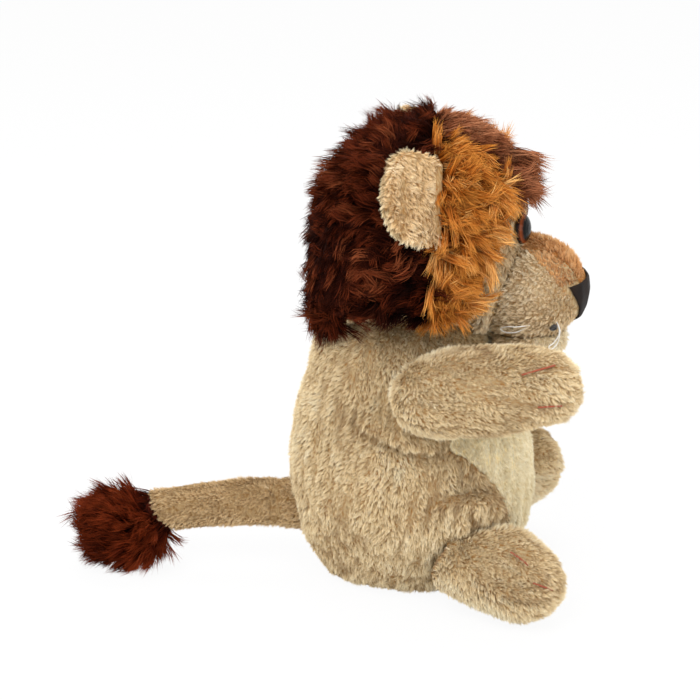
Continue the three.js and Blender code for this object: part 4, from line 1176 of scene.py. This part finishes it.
whiskerSpots = {"rear": [(530, 325), (517, 324), (506, 324), (503, 326), (514, 329), (529, 326)],
                "front": [(556, 320), (557, 330), (551, 342), (547, 348), (551, 347), (557, 336), (558, 323)]}
whiskerKnot = [(550, 324), (553, 323), (554, 326), (551, 327), (550, 325), (553, 325)]
whiskerShape = {"thread": 0.00026, "lift": 0.0022, "endLift": 0.0002, "knotThread": 0.0006, "knotLift": 0.0016}


def makeWhiskers(cheek):
    probe = merged("probe", ["cheek_right", "chin"])
    sides = (("right", list), ("left", mirrorLine))
    knot = onSkin(cheek, whiskerKnot, whiskerShape["knotLift"])
    for side, turned in sides:
        threadLine(f"whisker_knot_{side}", turned(knot), "head", "darkThread",
                   whiskerShape["knotThread"])
    for spot, pixels in whiskerSpots.items():
        line = onSkin(probe, pixels, whiskerShape["lift"])
        for end in (0, -1):  # the ends go into the cheek
            line[end] = onSkin(cheek, [pixels[end]], whiskerShape["endLift"])[0]
        for side, turned in sides:
            piece = threadLine(f"whisker_loop_{side}_{spot}", turned(line), "head", "whiteThread",
                               whiskerShape["thread"])
            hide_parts(f"whisker_{side}_{spot}")
    bpy.data.objects.remove(probe)
    print("whiskers made")


# light, floor and background

studio = {"world": 0.70, "paper": 0.93, "aim": (0.02, 0, 0.12), "floor": (40, -0.0004)}  # floor: size, height
lamps = {"key": ((-0.45, -0.8, 1.15), 13.5, 0.8), "fill": ((0.9, -0.7, 0.5), 5.2, 0.9),
         "top": ((0.1, 0.5, 1.2), 7.0, 0.9)}  # place, power, size


def makeStudio():
    scene = bpy.context.scene
    scene.view_settings.view_transform = "Standard"
    world = bpy.data.worlds.new("studio")
    scene.world = world
    sky = NodeSet(world)
    level = sky.seenRay() * (1 - studio["world"]) + studio["world"]
    sky.fill("Background", {"Color": (1, 1, 1, 1), "Strength": level})
    bpy.ops.object.select_all(action="DESELECT")
    size, height = studio["floor"]
    bpy.ops.mesh.primitive_plane_add(size=size, location=(0, 0, height))
    floor = bpy.context.object
    floor.name = "floor"
    bpy.ops.object.transform_apply(location=True, rotation=True, scale=True)
    floor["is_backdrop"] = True
    paper = Look("paperFloor")
    paper.surface(Base_Color=(0.9, 0.9, 0.9, 1), Roughness=0.9)
    shine = paper.node("ShaderNodeEmission", {}, {"Color": (1, 1, 1, 1), "Strength": 1.0})
    matt = Wire(paper, paper.tree.nodes["Principled BSDF"].outputs[0])
    both = paper.node("ShaderNodeMixShader", {}, {0: paper.seenRay() * studio["paper"], 1: matt, 2: shine})
    paper.fill("Material Output", {"Surface": both})
    floor.data.materials.append(paper.material)
    for name, (place, power, size) in lamps.items():
        bpy.ops.object.light_add(type="AREA", location=place)
        lamp = bpy.context.object
        lamp.name = name
        lamp.data.energy = power
        lamp.data.size = size
        lamp.rotation_mode = "QUATERNION"
        lamp.rotation_quaternion = (Vector(studio["aim"]) - Vector(place)).to_track_quat("-Z", "Y")
    print("studio ready")


makeBody()
makeInside()
makeLimbs()
makeTail()
headSkins = makeHead()
makeEyes()
makeWhiskers(headSkins["cheek_right_skin"])
makeStudio()
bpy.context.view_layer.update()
meshes = [piece.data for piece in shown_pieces() if piece.type == "MESH"]
print("triangles", sum(len(p.vertices) - 2 for mesh in meshes for p in mesh.polygons))
